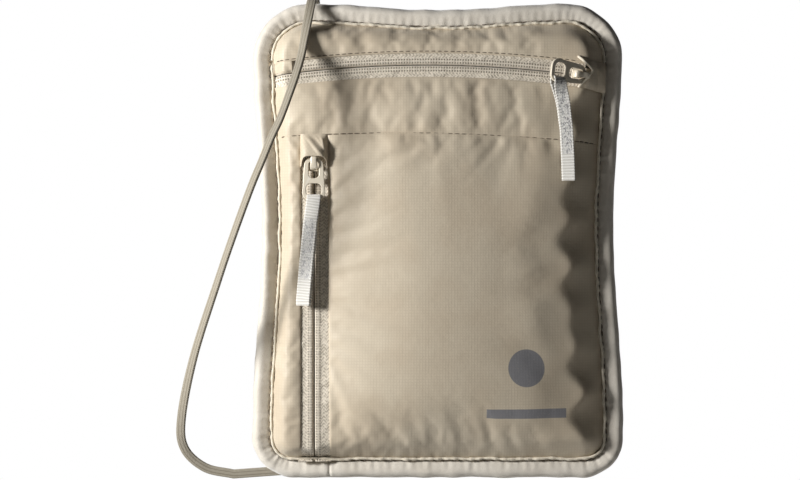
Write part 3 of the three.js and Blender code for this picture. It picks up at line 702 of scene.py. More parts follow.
class Panel:
    """One front cloth panel: a grid that is inflated with its edges pinned, then hemmed. Its sides, for the
    curves, edges and puckers, are the bottom, top, left and right, in that order."""

    def __init__(self, name, nodes, curves, edges, material, stretch, pressure, puckers, lift, step=1.6):
        self.name, self.nodes, self.material, self.edges = name, nodes, material, edges
        self.stretch, self.pressure, self.puckers, self.curves = stretch, pressure, puckers, curves
        self.flat = panel_grid(*curves, step)
        x, z = self.flat[..., 0], self.flat[..., 1]
        self.rows, self.columns = x.shape
        self.points = np.stack([x, base_depth(x, z) + lift, z], -1)

    def start_cloth(self):
        """Adds the cloth at SIM_SCALE times its size, where Blender's solver is steadier."""
        mesh = bpy.data.meshes.new("cloth_" + self.name)
        grid = self.points.copy()
        r = np.random.default_rng(7)
        grid[1:-1, 1:-1, 1] += (r.random((self.rows - 2, self.columns - 2)) - 0.5) * 0.25
        faces = grid_faces(self.rows, self.columns)
        mesh.from_pydata((placed(grid) * SIM_SCALE).tolist(), [], faces.tolist())
        self.cloth = add_object("cloth_" + self.name, mesh)
        pins = self.cloth.vertex_groups.new(name="pins")
        index = np.arange(self.rows * self.columns).reshape(self.rows, self.columns)
        edge = np.unique(np.r_[index[0], index[-1], index[:, 0], index[:, -1]])
        pins.add([int(i) for i in edge], 1.0, "REPLACE")
        mod = self.cloth.modifiers.new("cloth", "CLOTH")
        s = mod.settings
        s.quality = 7
        s.mass = 0.2
        s.tension_stiffness = s.compression_stiffness = 25
        s.shear_stiffness = 8
        s.bending_stiffness = 0.25
        s.air_damping = 2.0
        s.vertex_group_mass = "pins"
        s.shrink_min = -self.stretch
        s.use_pressure = True
        s.uniform_pressure_force = self.pressure
        s.effector_weights.gravity = 0
        mod.collision_settings.use_collision = False
        mod.point_cache.frame_start, mod.point_cache.frame_end = 1, 40

    def read_cloth(self):
        mesh = self.cloth.evaluated_get(bpy.context.evaluated_depsgraph_get()).data
        co = np.empty(len(mesh.vertices) * 3, np.float32)
        mesh.vertices.foreach_get("co", co)
        co = co.reshape(self.rows, self.columns, 3) / SIM_SCALE / MM
        moved = np.stack([co[..., 0], -co[..., 1], co[..., 2]], -1) - self.points
        moved = taut(moved, smooth((self.flat[..., 0] - 32) / 12)[..., None])
        size = np.maximum(np.linalg.norm(moved, axis=-1, keepdims=True), 1e-6)
        self.points = self.points + moved * (LIMIT * np.tanh(size / LIMIT) / size)
        bpy.data.objects.remove(self.cloth)

    def build(self):
        x, z = self.flat[..., 0], self.flat[..., 1]
        for side, *pucker in self.puckers:
            self.points[..., 1] += gathers(x, z, self.curves[side], *pucker)
        shape = sheet(*self.hemmed())
        return make_piece(self.name, shape, self.material, "ripstop", *self.nodes, subdivided=True)

    def hemmed(self):
        """The grid with its folded or tucked edge rows added on all four sides."""
        rows, columns = self.rows, self.columns
        extra = len(HEM)
        i = np.clip(np.arange(-extra, rows + extra), 0, rows - 1)
        j = np.clip(np.arange(-extra, columns + extra), 0, columns - 1)
        grid = self.points[np.ix_(i, j)].copy()
        weave = self.flat[np.ix_(i, j)].copy()

        def outward(a, b):
            d = a - b
            d[..., 1] = 0
            return d / np.maximum(np.linalg.norm(d, axis=-1, keepdims=True), 1e-6)

        flat3 = np.stack([self.flat[..., 0], self.flat[..., 0] * 0, self.flat[..., 1]], -1)
        below, above = outward(flat3[0], flat3[2]), outward(flat3[-1], flat3[-3])
        before, after = outward(flat3[:, 0], flat3[:, 2]), outward(flat3[:, -1], flat3[:, -3])
        drop = np.zeros(grid.shape[:2])
        for k in range(extra):
            low, every = extra - 1 - k, slice(None)
            places = (low, rows + extra + k, (every, low), (every, columns + extra + k))
            for edge, at, direction in zip(self.edges, places, (below[j], above[j], before[i], after[i])):
                out, down = edge[k]
                grid[at] += direction * out
                weave[at] += direction[:, [0, 2]] * (out + down)
                drop[at] = np.maximum(drop[at], down)
        grid[..., 1] -= drop
        return grid, weave


def line(a, b):
    return np.array([a, b], float)


def build_panels():
    left_x, right_x = V_X - 5.2, V_X + 5.4
    seam = np.c_[np.linspace(-70, 70, 200), band_seam(np.linspace(-70, 70, 200))]
    s = np.linspace(-80, 80, 300)
    upper = np.stack(h_zip(s, TAPE_HALF - 0.3), 1)
    lower = np.stack(h_zip(s, -TAPE_HALF + 0.3), 1)

    def crossing(curve, right):
        """Where a curve meets the rim seam on the left or right."""
        far, _ = nearest_on(SEAM, curve[:, 0], curve[:, 1])
        side = np.where((curve[:, 0] > 0) == right, far, 1e9)
        return curve[int(np.argmin(side))]

    def between(curve, a, b):
        keep = (curve[:, 0] > a[0]) & (curve[:, 0] < b[0])
        return np.vstack([[a], curve[keep], [b]])

    def corner(sx, sz):
        return SEAM[int(np.argmax(SEAM[:, 0] * sx + SEAM[:, 1] * sz * 0.98))]

    su_l, su_r = crossing(upper, False), crossing(upper, True)
    sl_l, sl_r = crossing(lower, False), crossing(lower, True)
    sm_l, sm_r = crossing(seam, False), crossing(seam, True)
    top_l, top_r, low_l, low_r = corner(-1, 1), corner(1, 1), corner(-1, -1), corner(1, -1)
    foot = lambda x: SEAM[int(np.argmin(np.abs(SEAM[:, 0] - x) + (SEAM[:, 1] > 0) * 1e3))]
    left_top, right_top = np.array([left_x, band_seam(left_x)]), np.array([right_x, band_seam(right_x)])
    panels = [
        Panel("top_strip", ["top_front_strip"],
              (between(upper, su_l, su_r), seam_arc(top_r, top_l)[::-1], seam_arc(top_l, su_l)[::-1],
               seam_arc(su_r, top_r)),
              (HEM, TUCK, TUCK, TUCK), RIPSTOP, stretch=0.03, pressure=1.6,
              puckers=((1, 3, 12, 0.8, 8, 2.6), (0, 4, 9.0, 0.2, 3.5, 1.8)), lift=0.4),
        Panel("band", ["upper_band"],
              (between(seam, sm_l, sm_r), between(lower, sl_l, sl_r), seam_arc(sl_l, sm_l)[::-1],
               seam_arc(sm_r, sl_r)),
              (HEM, HEM, TUCK, TUCK), RIPSTOP, stretch=0.025, pressure=1.1,
              puckers=((1, 5, 4.6, 0.45, 13, 1.4), (0, 6, 3.6, 0.22, 3.5, 1.2)), lift=0.0),
        Panel("left_strip", ["left_front_strip"],
              (seam_arc(low_l, foot(left_x)), between(seam, sm_l, left_top), seam_arc(sm_l, low_l)[::-1],
               line(foot(left_x), left_top)),
              (TUCK, TUCK, TUCK, HEM), RIPSTOP, stretch=0.03, pressure=1.6, step=1.3,
              puckers=((2, 8, 7, 0.35, 3.0, 1.8),), lift=0.2),
        Panel("main_panel", ["main_front_panel", "printed_disc", "printed_bar"],
              (seam_arc(foot(right_x), low_r), between(seam, right_top, sm_r),
               line(foot(right_x + 0.9), right_top), seam_arc(low_r, sm_r)),
              (TUCK, TUCK, HEM, TUCK), RIPSTOP_PRINTED, stretch=0.018, pressure=1.0,
              puckers=((1, 9, 5.0, 0.6, 12, 2.0), (3, 10, 14, 0.15, 6, 4.2), (0, 12, 7, 0.38, 5, 2.0)),
              lift=0.2),
    ]
    for panel in panels:
        panel.start_cloth()
    for step in range(SIM_STEPS):
        bpy.context.scene.frame_set(step + 1)
    for panel in panels:
        panel.read_cloth()
    bpy.context.scene.frame_set(1)
    return {panel.name: panel.build() for panel in panels}


# ---------------------------------------------------------------- back, border and piping
EDGE_STITCH = 3.1  # from one stitch to the next round the edge


def build_border():
    """The padded knit roll round the edge, gathered a little by its stitching."""
    outer = rim(0, 1500)
    # start the loop at the butt seam in the lower edge, where the cloth's two ends meet
    start = int(np.argmin(np.hypot(outer[:, 0] + 41, outer[:, 1] + 90)))
    outer = np.roll(outer, -start, 0)
    tangent = unit(np.roll(outer, -6, 0) - np.roll(outer, 6, 0))
    inward = np.c_[-tangent[:, 1], tangent[:, 0]]
    outer, inward = np.vstack([outer, outer[:1]]), np.vstack([inward, inward[:1]])
    s = arc_length(outer)
    butt = np.minimum(s, s[-1] - s)  # how far the butt seam is
    # section: (inset, depth) from the back, round the outside, to the groove by the piping
    section = [(9.5, 0.3), (5.5, 0.25), (2.6, 0.4), (0.8, 1.2), (0.05, 2.8), (0.15, 4.5), (0.8, 6.0),
               (1.9, 6.85), (3.1, 6.85), (4.4, 6.4), (5.5, 5.95), (6.3, 5.45), (6.7, 4.7), (6.85, 3.4)]
    section = spline(section, 44)
    share = np.linspace(0, 1, len(section))
    crest = np.exp(-((share - 0.60) / 0.16) ** 2)
    near = smooth((share - 0.66) / 0.2)
    slow = waves(s, 21, 34, 9) * np.minimum(1, butt / 8)
    quick = waves(s, 22, 7, 3.2)
    corner = np.exp(-((np.abs(outer).sum(1) - 150) / 12) ** 2) * (np.abs(outer[:, 1]) > 60)
    pinch = np.cos(2 * math.pi * s / EDGE_STITCH)
    # on the left the roll turns further down towards its stitching about the waist
    waist = (outer[:, 0] < 0) * dip((outer[:, 1] - 8) / 62)
    sunk = 1.6 * (outer[:, 0] > 0) * smooth((outer[:, 1] + 22) / 40) * smooth((82 - outer[:, 1]) / 16)
    calm = 1 - 0.6 * (outer[:, 0] > 0) * dip(outer[:, 1] / 84)
    grid = np.empty((len(s), len(section), 3))
    for k, (inset, depth) in enumerate(section):
        swell = crest[k] * (0.16 * slow * calm + 0.02 * quick * (1 + 3 * corner))
        swell += near[k] * (0.04 * quick + 0.06 * pinch)
        shift = near[k] * 0.1 * waves(s, 23, 16, 5)
        at = outer + inward * (inset + shift)[:, None]
        if inset < 3 and depth < 6:
            at = at - inward * (0.12 * crest[k] * slow * calm)[:, None]
        roll = waist * 2.0 * smooth((share[k] - 0.6) / 0.34)
        grid[:, k] = np.c_[at[:, 0], depth + swell - roll - sunk * smooth(share[k] / 0.5), at[:, 1]]
    grid[..., 1] -= (0.45 * np.exp(-(butt / 0.5) ** 2))[:, None] * smooth((share - 0.3) / 0.2)[None]
    weave = np.stack(np.broadcast_arrays(s[:, None], (share * 26)[None]), -1)
    make_piece("border", sheet(grid, weave, flip=True), KNIT_CLOTH, "knit", "edge_border")


def build_piping():
    """The folded light edge inside the border, drawn in a little at each stitch."""
    path = rim(7.35, 1700)
    s = np.arange(len(path)) * (length_of(np.vstack([path, path[:1]])) / len(path))
    total = s[-1] + s[1]
    wobble = 0.13 * waves(s, 31, 40, 12) + 0.03 * waves(s, 32, 6, 3)
    fade = np.minimum(1, np.minimum(s, total - s) / 6)
    tangent = unit(np.roll(path, -1, 0) - np.roll(path, 1, 0))
    normal = np.c_[-tangent[:, 1], tangent[:, 0]]
    at = path + normal * (wobble * fade)[:, None]
    height = 6.25 + 0.16 * waves(s, 33, 18, 5) * fade
    centre = np.c_[at[:, 0], height, at[:, 1]]
    across = np.c_[normal[:, 0], 0 * s, normal[:, 1]]
    up = np.broadcast_to([0.0, 1.0, 0.0], centre.shape)
    size = 1 + 0.1 * np.cos(2 * math.pi * s / EDGE_STITCH) + 0.08 * waves(s, 34, 9, 3)
    section = ellipse(0.55, 0.8, 12, 0.85)[None] * size[:, None, None]
    shape = sweep(centre, across, up, section, closed=True)
    make_piece("piping", shape, PIPING_CLOTH, "piping", "edge_piping")
    # stitches lie in the groove between the border and the piping; their thread is painted dark brown as the
    # shade in the groove and the stitch holes
    groove = rim(6.62, 1700)
    run = np.c_[groove[:, 0], 5.75 + 0 * s, groove[:, 1]]
    stitches = threads(run, (0, 1, 0), EDGE_STITCH, 1.8, 0.21, lift=0.1, jitter=0.4, seed=5)
    make_piece("border_stitches", stitches, THREAD_PAINTED_SHADE, "piping")


def build_back():
    """The knit back, lightly quilted over its padding; it stays on the flat back face."""
    inset = np.r_[np.linspace(1.6, 12, 14), np.linspace(14, 60, 30)]
    count = 420
    # the innermost ring shrinks to the middle
    rings = [rim(i, count) for i in inset] + [rim(60, count) * k for k in (0.75, 0.5, 0.25, 0.002)]
    inset = np.r_[inset, [62, 64, 66, 68]]
    grid = np.empty((len(rings), count, 3))
    for k, ring in enumerate(rings):
        x, z = ring.T
        soft = 0.22 + 0.1 * ripple(x, z, 41, 40, 12) * smooth(inset[k] / 14)
        soft = soft - 0.16 * smooth((inset[k] - 4) / 10) + 0.25 * smooth((5 - inset[k]) / 4)
        grid[k] = np.c_[x, soft, z]
    make_piece("back_cloth", sheet(grid, wrap_columns=True), KNIT_CLOTH, "knit", "back_panel")


# ---------------------------------------------------------------- zips
def tape_profile(v):
    """Depth of the tape relative to the front, across from the slit: a lip, then the ridge over the coil."""
    v = np.abs(v)
    return -1.3 * np.exp(-((v - 0.1) / 0.28) ** 2) + 0.28 * np.exp(-((v - 1.5) / 1.0) ** 2) - 0.45


def build_zip(prefix, run, start, end, sides):
    for side, node in sides:
        place = node.split("_")[-1]
        s = np.linspace(start, end, int((end - start) / 0.5))
        v = side * np.r_[np.linspace(0.14, 2.9, 16), np.linspace(3.3, 6.2, 7)]
        S, V = np.meshgrid(s, v, indexing="ij")
        x, z = run(S, V)
        depth = base_depth(x, z) + tape_profile(V) + 0.05 * ripple(x, z, 51, 9, 3)
        flip = (side > 0) == (prefix == "v")
        shape = sheet(np.stack([x, depth, z], -1), np.stack([S, V], -1), flip=flip)
        make_piece(f"{prefix}_tape_{place}", shape, TAPE_CLOTH, "tape", node)
        rows = []
        for seed, offset in enumerate(STITCH_ROWS, 1):
            x, z = run(s, side * offset)
            path = np.c_[x, base_depth(x, z) + tape_profile(offset), z]
            rows.append(threads(path, (0, 1, 0), STITCH_PITCH, 0.5, 0.17, lift=0.05, seed=seed, along=s))
        make_piece(f"{prefix}_coil_stitches_{place}", merged(rows), THREAD_LIGHT, "tape")


def curve_solid(outlines, thickness, bevel):
    """A flat plate, middle at depth 0, from closed (x, z) outlines, holes included, with rounded edges."""
    data = bpy.data.curves.new("plate", "CURVE")
    data.dimensions, data.fill_mode = "2D", "BOTH"
    data.extrude = (thickness / 2 - bevel) * MM
    data.bevel_depth, data.bevel_resolution = bevel * MM, 3
    for outline in outlines:
        spline_ = data.splines.new("POLY")
        spline_.points.add(len(outline) - 1)
        spline_.use_cyclic_u = True
        for point, (x, z) in zip(spline_.points, outline):
            point.co = (x * MM, z * MM, 0, 1)
    obj = add_object("plate", data)
    dg = bpy.context.evaluated_depsgraph_get()
    mesh = bpy.data.meshes.new_from_object(obj.evaluated_get(dg))
    co = np.array([v.co for v in mesh.vertices]) / MM
    faces = [tuple(p.vertices) for p in mesh.polygons]
    bpy.data.objects.remove(obj)
    return np.c_[co[:, 0], co[:, 2], co[:, 1]], faces


def rounded_rect(half_width, bottom, top, radius, steps=8):
    out = []
    for sx, high, start in ((1, True, 0), (-1, True, 90), (-1, False, 180), (1, False, 270)):
        t = np.radians(start + np.linspace(0, 90, steps))
        cz = top - radius if high else bottom + radius
        out.append(np.c_[sx * (half_width - radius) + radius * np.cos(t), cz + radius * np.sin(t)])
    return np.vstack(out)


PIVOT_Z, PIVOT_DEPTH = 0.4, 15.15
BAR_TOP = 0.95
HOLE_TOP, HOLE_BOTTOM = -0.15, -6.65
EYE_TOP, EYE_BOTTOM = -8.65, -13.65
PULLER_BOTTOM = -14.95


def slider_parts():
    """The slider, upright at the origin: two plates, side flanges, neck and bridge."""
    plate = [(-1.9, -4.25), (1.9, -4.25), (2.3, -3.2), (2.45, 0), (2.8, 1.6), (2.8, 2.8), (1.9, 4.0),
             (0.9, 4.25), (-0.9, 4.25), (-1.9, 4.0), (-2.8, 2.8), (-2.8, 1.6), (-2.45, 0), (-2.3, -3.2)]
    outline = resample(np.array(plate), 60, closed=True)
    inner = outline * 0.88
    parts = []
    neck = rounded_rect(0.42, 1.3, 3.5, 0.3)
    for shape, middle, thick, bevel in ((inner, 13.75, 0.9, 0.3), (inner, 10.4, 0.8, 0.3),
                                        (neck, 12.1, 3.0, 0.05)):
        p, f = curve_solid([shape], thick, bevel)
        p[:, 1] += middle
        parts.append((p, f))
    # bridge: an arch along the slider, wider at its lower, visible end
    path = spline([(0, 13.9, -3.1), (0, 15.2, -3.05), (0, 16.2, -2.3), (0, 16.55, -0.6), (0, 16.5, 1.2),
                   (0, 16.0, 2.4), (0, 15.0, 2.75), (0, 13.9, 2.75)], 40)
    across = np.broadcast_to([1.0, 0, 0], path.shape)
    _, up = curve_frames(path, [0, 1.0, -0.001] + path * [0, 0, 0.9])
    grow = 1 + 0.28 * smooth((-path[:, 2] - 0.2) / 2.2)
    section = ellipse(1.1, 0.42, 16, 0.6)[None] * np.stack([grow, np.ones_like(grow)], -1)[:, None]
    parts.append(sweep(path, across, up, section))
    return merged(parts)


def puller_parts():
    """The pull tab: a plate with an oval hole for the bridge and a wide eye for the ribbon."""
    outer = rounded_rect(3.75, PULLER_BOTTOM + 0.25, BAR_TOP - 0.25, 2.6, 12)
    waist = 0.9 - 0.07 * np.exp(-((outer[:, 1] + 6.6) / 2.2) ** 2) + 0.19 * smooth((-6.5 - outer[:, 1]) / 4.5)
    outer = np.c_[outer[:, 0] * waist, outer[:, 1]]
    hole = rounded_rect(1.95 + 0.25, HOLE_BOTTOM - 0.25, HOLE_TOP + 0.25, 1.9, 10)
    eye = rounded_rect(3.25 - 0.05, EYE_BOTTOM + 0.05, EYE_TOP + 0.3, 2.1, 10)
    p, f = curve_solid([outer, hole, eye], 1.1, 0.25)
    p[:, 1] += PIVOT_DEPTH
    return p, f


def turned(points, degrees):
    """Turned about Y by the right-hand rule, in (x, depth, z)."""
    c, s = math.cos(math.radians(degrees)), math.sin(math.radians(degrees))
    p = np.asarray(points, float)
    return np.stack([p[..., 0] * c + p[..., 2] * s, p[..., 1], -p[..., 0] * s + p[..., 2] * c], -1)


def tilted(points, degrees):
    """Lifted about the puller's bar, away from the cloth."""
    c, s = math.cos(math.radians(degrees)), math.sin(math.radians(degrees))
    p = np.asarray(points, float)
    d, z = p[..., 1] - PIVOT_DEPTH, p[..., 2] - PIVOT_Z
    return np.stack([p[..., 0], PIVOT_DEPTH + d * c - z * s, PIVOT_Z + d * s + z * c], -1)


H_LEAN = math.degrees(math.asin((54.0 - H_CENTRE[0]) / H_RADIUS))
H_SLIDER = (54.0, H_CENTRE[1] + H_RADIUS * math.cos(math.radians(H_LEAN)))
V_SLIDER = (V_X, 30.0)
H_TILT = 33.0


def at_h(points):
    return turned(points, 90 + H_LEAN) + [H_SLIDER[0], 0, H_SLIDER[1]]


def at_v(points):
    return np.asarray(points, float) + [V_SLIDER[0], 0, V_SLIDER[1]]


def build_pulls():
    body, faces = slider_parts()
    tab, tab_faces = puller_parts()
    for prefix, where, tilt in (("h", at_h, H_TILT), ("v", at_v, 0)):
        slider, puller = (where(body), faces), (where(tilted(tab, tilt)), tab_faces)
        for kind, shape in (("slider", slider), ("puller", puller)):
            name = f"{prefix}_{kind}"
            make_piece(name, shape, METAL, "metal", f"{prefix}_zip_{kind}", body=name, sharp=40)
    # each ribbon is folded over its bar: up one leg, round the bar and down the other
    build_ribbon("v", (V_X, PIVOT_DEPTH, 30.0 + (EYE_BOTTOM + PULLER_BOTTOM) / 2), 40.0, (1, 0, 0),
                 [(0, 0), (-1.3, -9), (-2.7, -23), (-4.0, -38)], [0, 6, 10, 14], 2.55, 32,
                 srgb(172, 169, 166))
    # the top zip's ribbon gets darker specks than the upright one's: painted shade, as it lies on the shaded
    # side
    rail = at_h(tilted(np.array([[3.6, PIVOT_DEPTH, (EYE_TOP + EYE_BOTTOM) / 2]]), H_TILT))[0]
    axis = at_h(tilted(np.array([[0, PIVOT_DEPTH, 1.0], [0, PIVOT_DEPTH, 0.0]]), H_TILT))
    build_ribbon("h", rail, 37.0, axis[0] - axis[1], [(0, 0), (1.3, -6), (2.9, -18), (3.6, -36.5)],
                 [6, 34, 39, 43], 2.4, 60, srgb(112, 109, 107))


def build_ribbon(prefix, bar, length, bar_axis, lean, twist, half, stripe_end, speck_tone):
    """A ribbon folded over the bar. lean is its sideways drift and twist its turn, at points down its length;
    half is half its width."""
    bar = np.asarray(bar, float)
    axis = unit(np.asarray(bar_axis, float))
    rightwards = axis if axis[0] > 0 else -axis
    out = unit(np.cross(axis, (0, 0, 1.0)))
    out = out if out[1] > 0 else -out
    legs = np.linspace(-length, -1.0, 60)
    z_at = [p[1] for p in lean][::-1]
    drift = np.interp(legs, z_at, [p[0] for p in lean][::-1])
    turn = np.radians(np.interp(legs, z_at, twist[::-1]))
    gap = 0.42 + 0.95 * np.exp((legs + 1.0) / 2.6)
    bow = 1.3 * smooth(-legs / 10)
    wobble = 0.25 * np.sin(legs / 7.0) * smooth(-legs / 8)
    front = np.c_[drift, gap + wobble + bow, legs]
    loop_turn = np.linspace(math.pi * 0.06, math.pi * 0.94, 14)
    loop = np.c_[np.zeros(14), 1.38 * np.cos(loop_turn), 1.38 * np.sin(loop_turn)]
    back = np.c_[drift + 0.5 * smooth(-legs / 20), -gap + wobble + bow, legs][::-1]
    run = np.vstack([front, loop, back])
    turns = np.r_[turn, np.zeros(14), turn[::-1]]
    path = bar + rightwards * run[:, :1] + out * run[:, 1:2] + np.array([0, 0, 1.0]) * run[:, 2:]
    tangent = unit(np.gradient(path, axis=0))
    across = axis * np.cos(turns)[:, None] + out * np.sin(turns)[:, None]
    across = unit(across - (across * tangent).sum(1, keepdims=True) * tangent)
    up = np.cross(across, tangent)
    s = arc_length(path)
    count = int(s[-1] / 0.155)
    at = np.linspace(0, s[-1], count)
    even = lambda a: np.stack([np.interp(at, s, a[:, k]) for k in range(3)], 1)
    path, across, up = even(path), even(across), even(up)
    from_end = np.minimum(at, at[-1] - at)
    rib = 0.5 - 0.5 * np.cos(2 * math.pi * from_end / RIB - math.pi / 2)
    wide = half + 0.07 * rib
    thick = 0.17 + 0.08 * rib
    v = np.linspace(-1, 1, 15)
    section = np.r_[np.c_[v, np.ones(15)], np.c_[v[::-1], -np.ones(15)]]
    section = section[None] * np.stack([wide, thick], -1)[:, None]
    points, faces, _ = sweep(path, across, up, section)
    weave = np.stack(np.broadcast_arrays(from_end[:, None], np.r_[v, v[::-1]][None] * half), -1)
    cloth, name = grosgrain(f"{prefix}_grosgrain", stripe_end, speck_tone), f"{prefix}_ribbon"
    make_piece(name, (points, faces, weave), cloth, "ribbon", f"{prefix}_zip_ribbon", body=name)


# ---------------------------------------------------------------- fabric over the zip ends
def build_hood():
    """A folded ripstop hood over the top of the upright zip, with an arched mouth."""
    across = np.linspace(-1, 1, 41)
    along = np.linspace(0, 1, 46)
    top = band_seam(V_X) + 0.4
    A, L = np.meshgrid(across, along, indexing="ij")
    mouth = 27.9 + 3.85 * np.sqrt(np.clip(1 - np.abs(A / 0.9) ** 5, 0, 1))
    z = top + (mouth - top) * L
    x = V_X + 0.1 + 5.3 * np.sign(A) * np.abs(A) ** 0.9
    swell = 1.2 + 3.4 * smooth(L / 0.8) ** 0.8
    arch = np.clip(1 - np.abs(A) ** 5, 0, 1) ** 0.7
    # two folds and a groove run down it, each leaning by its own share of the fall
    folds = 0
    for height, start, leaning, width in ((0.38, -3.2, 0.75, 0.9), (-0.26, -1.2, 0.8, 0.8),
                                          (0.35, 2.4, 0.35, 0.6)):
        folds = folds + height * np.exp(-((x - V_X - start - (top - z) * leaning) / width) ** 2)
    depth = FRONT_DEPTH + 0.1 + swell * arch + folds * arch * smooth(L * 3) * smooth((1.1 - L) * 3)
    outer = np.stack([x, depth, z], -1)
    # roll the mouth's edge inwards, then run back up inside
    lip = outer[:, -1].copy()
    rows = [outer[:, k] for k in range(outer.shape[1])]
    for down, inwards in ((-0.25, 0.25), (-0.1, 0.6), (0.6, 0.75), (3.0, 0.8)):
        row = lip.copy()
        row[:, 2] += down
        row[:, 1] -= inwards * arch[:, -1]
        row[:, 0] = V_X + (row[:, 0] - V_X) * (1 - 0.04 * inwards)
        rows.append(row)
    grid = np.stack(rows, 1)
    x, z = grid[..., 0], grid[..., 2]
    weave = np.stack([x * 0.8 + z * 0.6, z * 0.8 - x * 0.6], -1)
    make_piece("v_hood", sheet(grid, weave), RIPSTOP, "ripstop", "v_zip_hood", subdivided=True)


def build_tabs():
    """The folded tab at the top zip's closed end, with a notched mouth, and the small tab at its start."""
    a = np.linspace(-1, 1, 37)
    l = np.linspace(0, 1, 26)
    A, L = np.meshgrid(a, l, indexing="ij")
    notch_at = 0.25
    reach = np.abs(A - notch_at) / np.where(A > notch_at, 1 - notch_at, 1 + notch_at)
    mouth_x = 52.5 + 5.8 * (1 - np.sqrt(reach**2 + 0.01))
    end_x = 63.2
    x = mouth_x + (end_x - mouth_x) * L
    z = 63.3 + 5.7 * A - 0.2 * (x - 53)
    puff = 2.3 * smooth((1 - L) / 0.5) * (1 - 0.85 * A**4)
    low = base_depth(np.minimum(x, 60), z)
    depth = low + np.maximum(11.6 - 0.62 * (x - 53) - low, 0) * (1 - A**6) + 0.35 + 0.55 * (1 - A**6) + puff
    depth += 0.16 * ripple(x, z, 61, 8, 3)
    rows = [np.stack([x, depth, z], -1)[:, k] for k in range(len(l))]
    lip = rows[0]
    fold = resample(lip + [0.1, 0.15, 0], 90)
    across, up = curve_frames(fold, (-0.7, 0.7, 0.0))
    # the lip's fold takes the paler cloth: a painted highlight on its edge
    make_piece("h_end_tab_fold", sweep(fold, across, up, ellipse(0.5, 0.42)), FOLD_PAINTED_HIGHLIGHT, "ripstop")
    for out, down in ((-0.4, 0.35), (-0.35, 1.0), (0.9, 1.5)):
        row = lip.copy()
        row[:, 0] += out
        row[:, 1] -= down
        rows.insert(0, row)
    shape = sheet(np.stack(rows, 1), flip=True)
    make_piece("h_end_tab", shape, RIPSTOP, "ripstop", "h_zip_end_tab", subdivided=True)

    x, z = np.meshgrid(np.linspace(-62.4, -54.3, 26), np.linspace(62.9, 67.7, 20), indexing="xy")
    edge = np.minimum(np.minimum(-54.3 - x, 5), np.minimum(z - 62.9, 67.7 - z))
    z = z + 0.14 * (x + 59)
    depth = base_depth(np.maximum(x, -61.4), z) - 0.45 + 0.7 * smooth(edge / 0.7)
    depth += 0.12 * ripple(x, z, 62, 7, 3)
    shape = sheet(np.stack([x, depth, z], -1))
    make_piece("h_start_tab", shape, RIPSTOP, "ripstop", "h_zip_start_tab", subdivided=True)


# ---------------------------------------------------------------- neck cord
ANCHOR_X, CORD_BEHIND = 46.6, -1.1  # where the cord's ends are held, and its depth behind the pouch
CORD_FRONT = [(-46.6, -0.9, 80), (-46.6, -1.0, 85), (-46.6, -1.0, 88.3), (-46.8, 3.4, 91.7),
              (-47.8, 8.8, 90.3), (-49.4, 12.8, 81), (-51.2, 17.6, 69.5), (-53.1, 22.9, 61.5),
              (-55.4, 26.7, 54), (-58.5, 29.8, 45), (-61.6, 31.8, 38), (-65.2, 33.9, 28.8), (-69.2, 34.5, 19),
              (-75.6, 31.8, 2), (-81.8, 26.0, -15), (-91.7, 14.5, -43.4), (-97.2, 5.6, -67),
              (-96.6, 1.2, -79), (-89, -0.8, -86.6), (-78, -1.1, -89.2)]
CORD_BACK = [(-78, -89.2), (50, -80), (50, -58), (-40, -52), (-40, -32), (ANCHOR_X, -26), (ANCHOR_X, 80)]


def rounded_run(points, radius):
    """Straight runs joined by round bends."""
    p = [np.array(q, float) for q in points]
    out = [p[0]]
    for a, b, c in zip(p, p[1:], p[2:]):
        u, w = (a - b) / np.linalg.norm(a - b), (c - b) / np.linalg.norm(c - b)
        half = math.acos(float(np.clip(u @ w, -1, 1))) / 2
        centre = b + (u + w) / np.linalg.norm(u + w) * radius / math.sin(half)
        f, t = b + u * radius / math.tan(half) - centre, b + w * radius / math.tan(half) - centre
        start = math.atan2(f[1], f[0])
        turn = math.atan2(f[0] * t[1] - f[1] * t[0], float(f @ t))
        angles = start + turn * np.linspace(0, 1, 24)
        out += list(centre + radius * np.c_[np.cos(angles), np.sin(angles)])
    return np.array(out + [p[-1]])


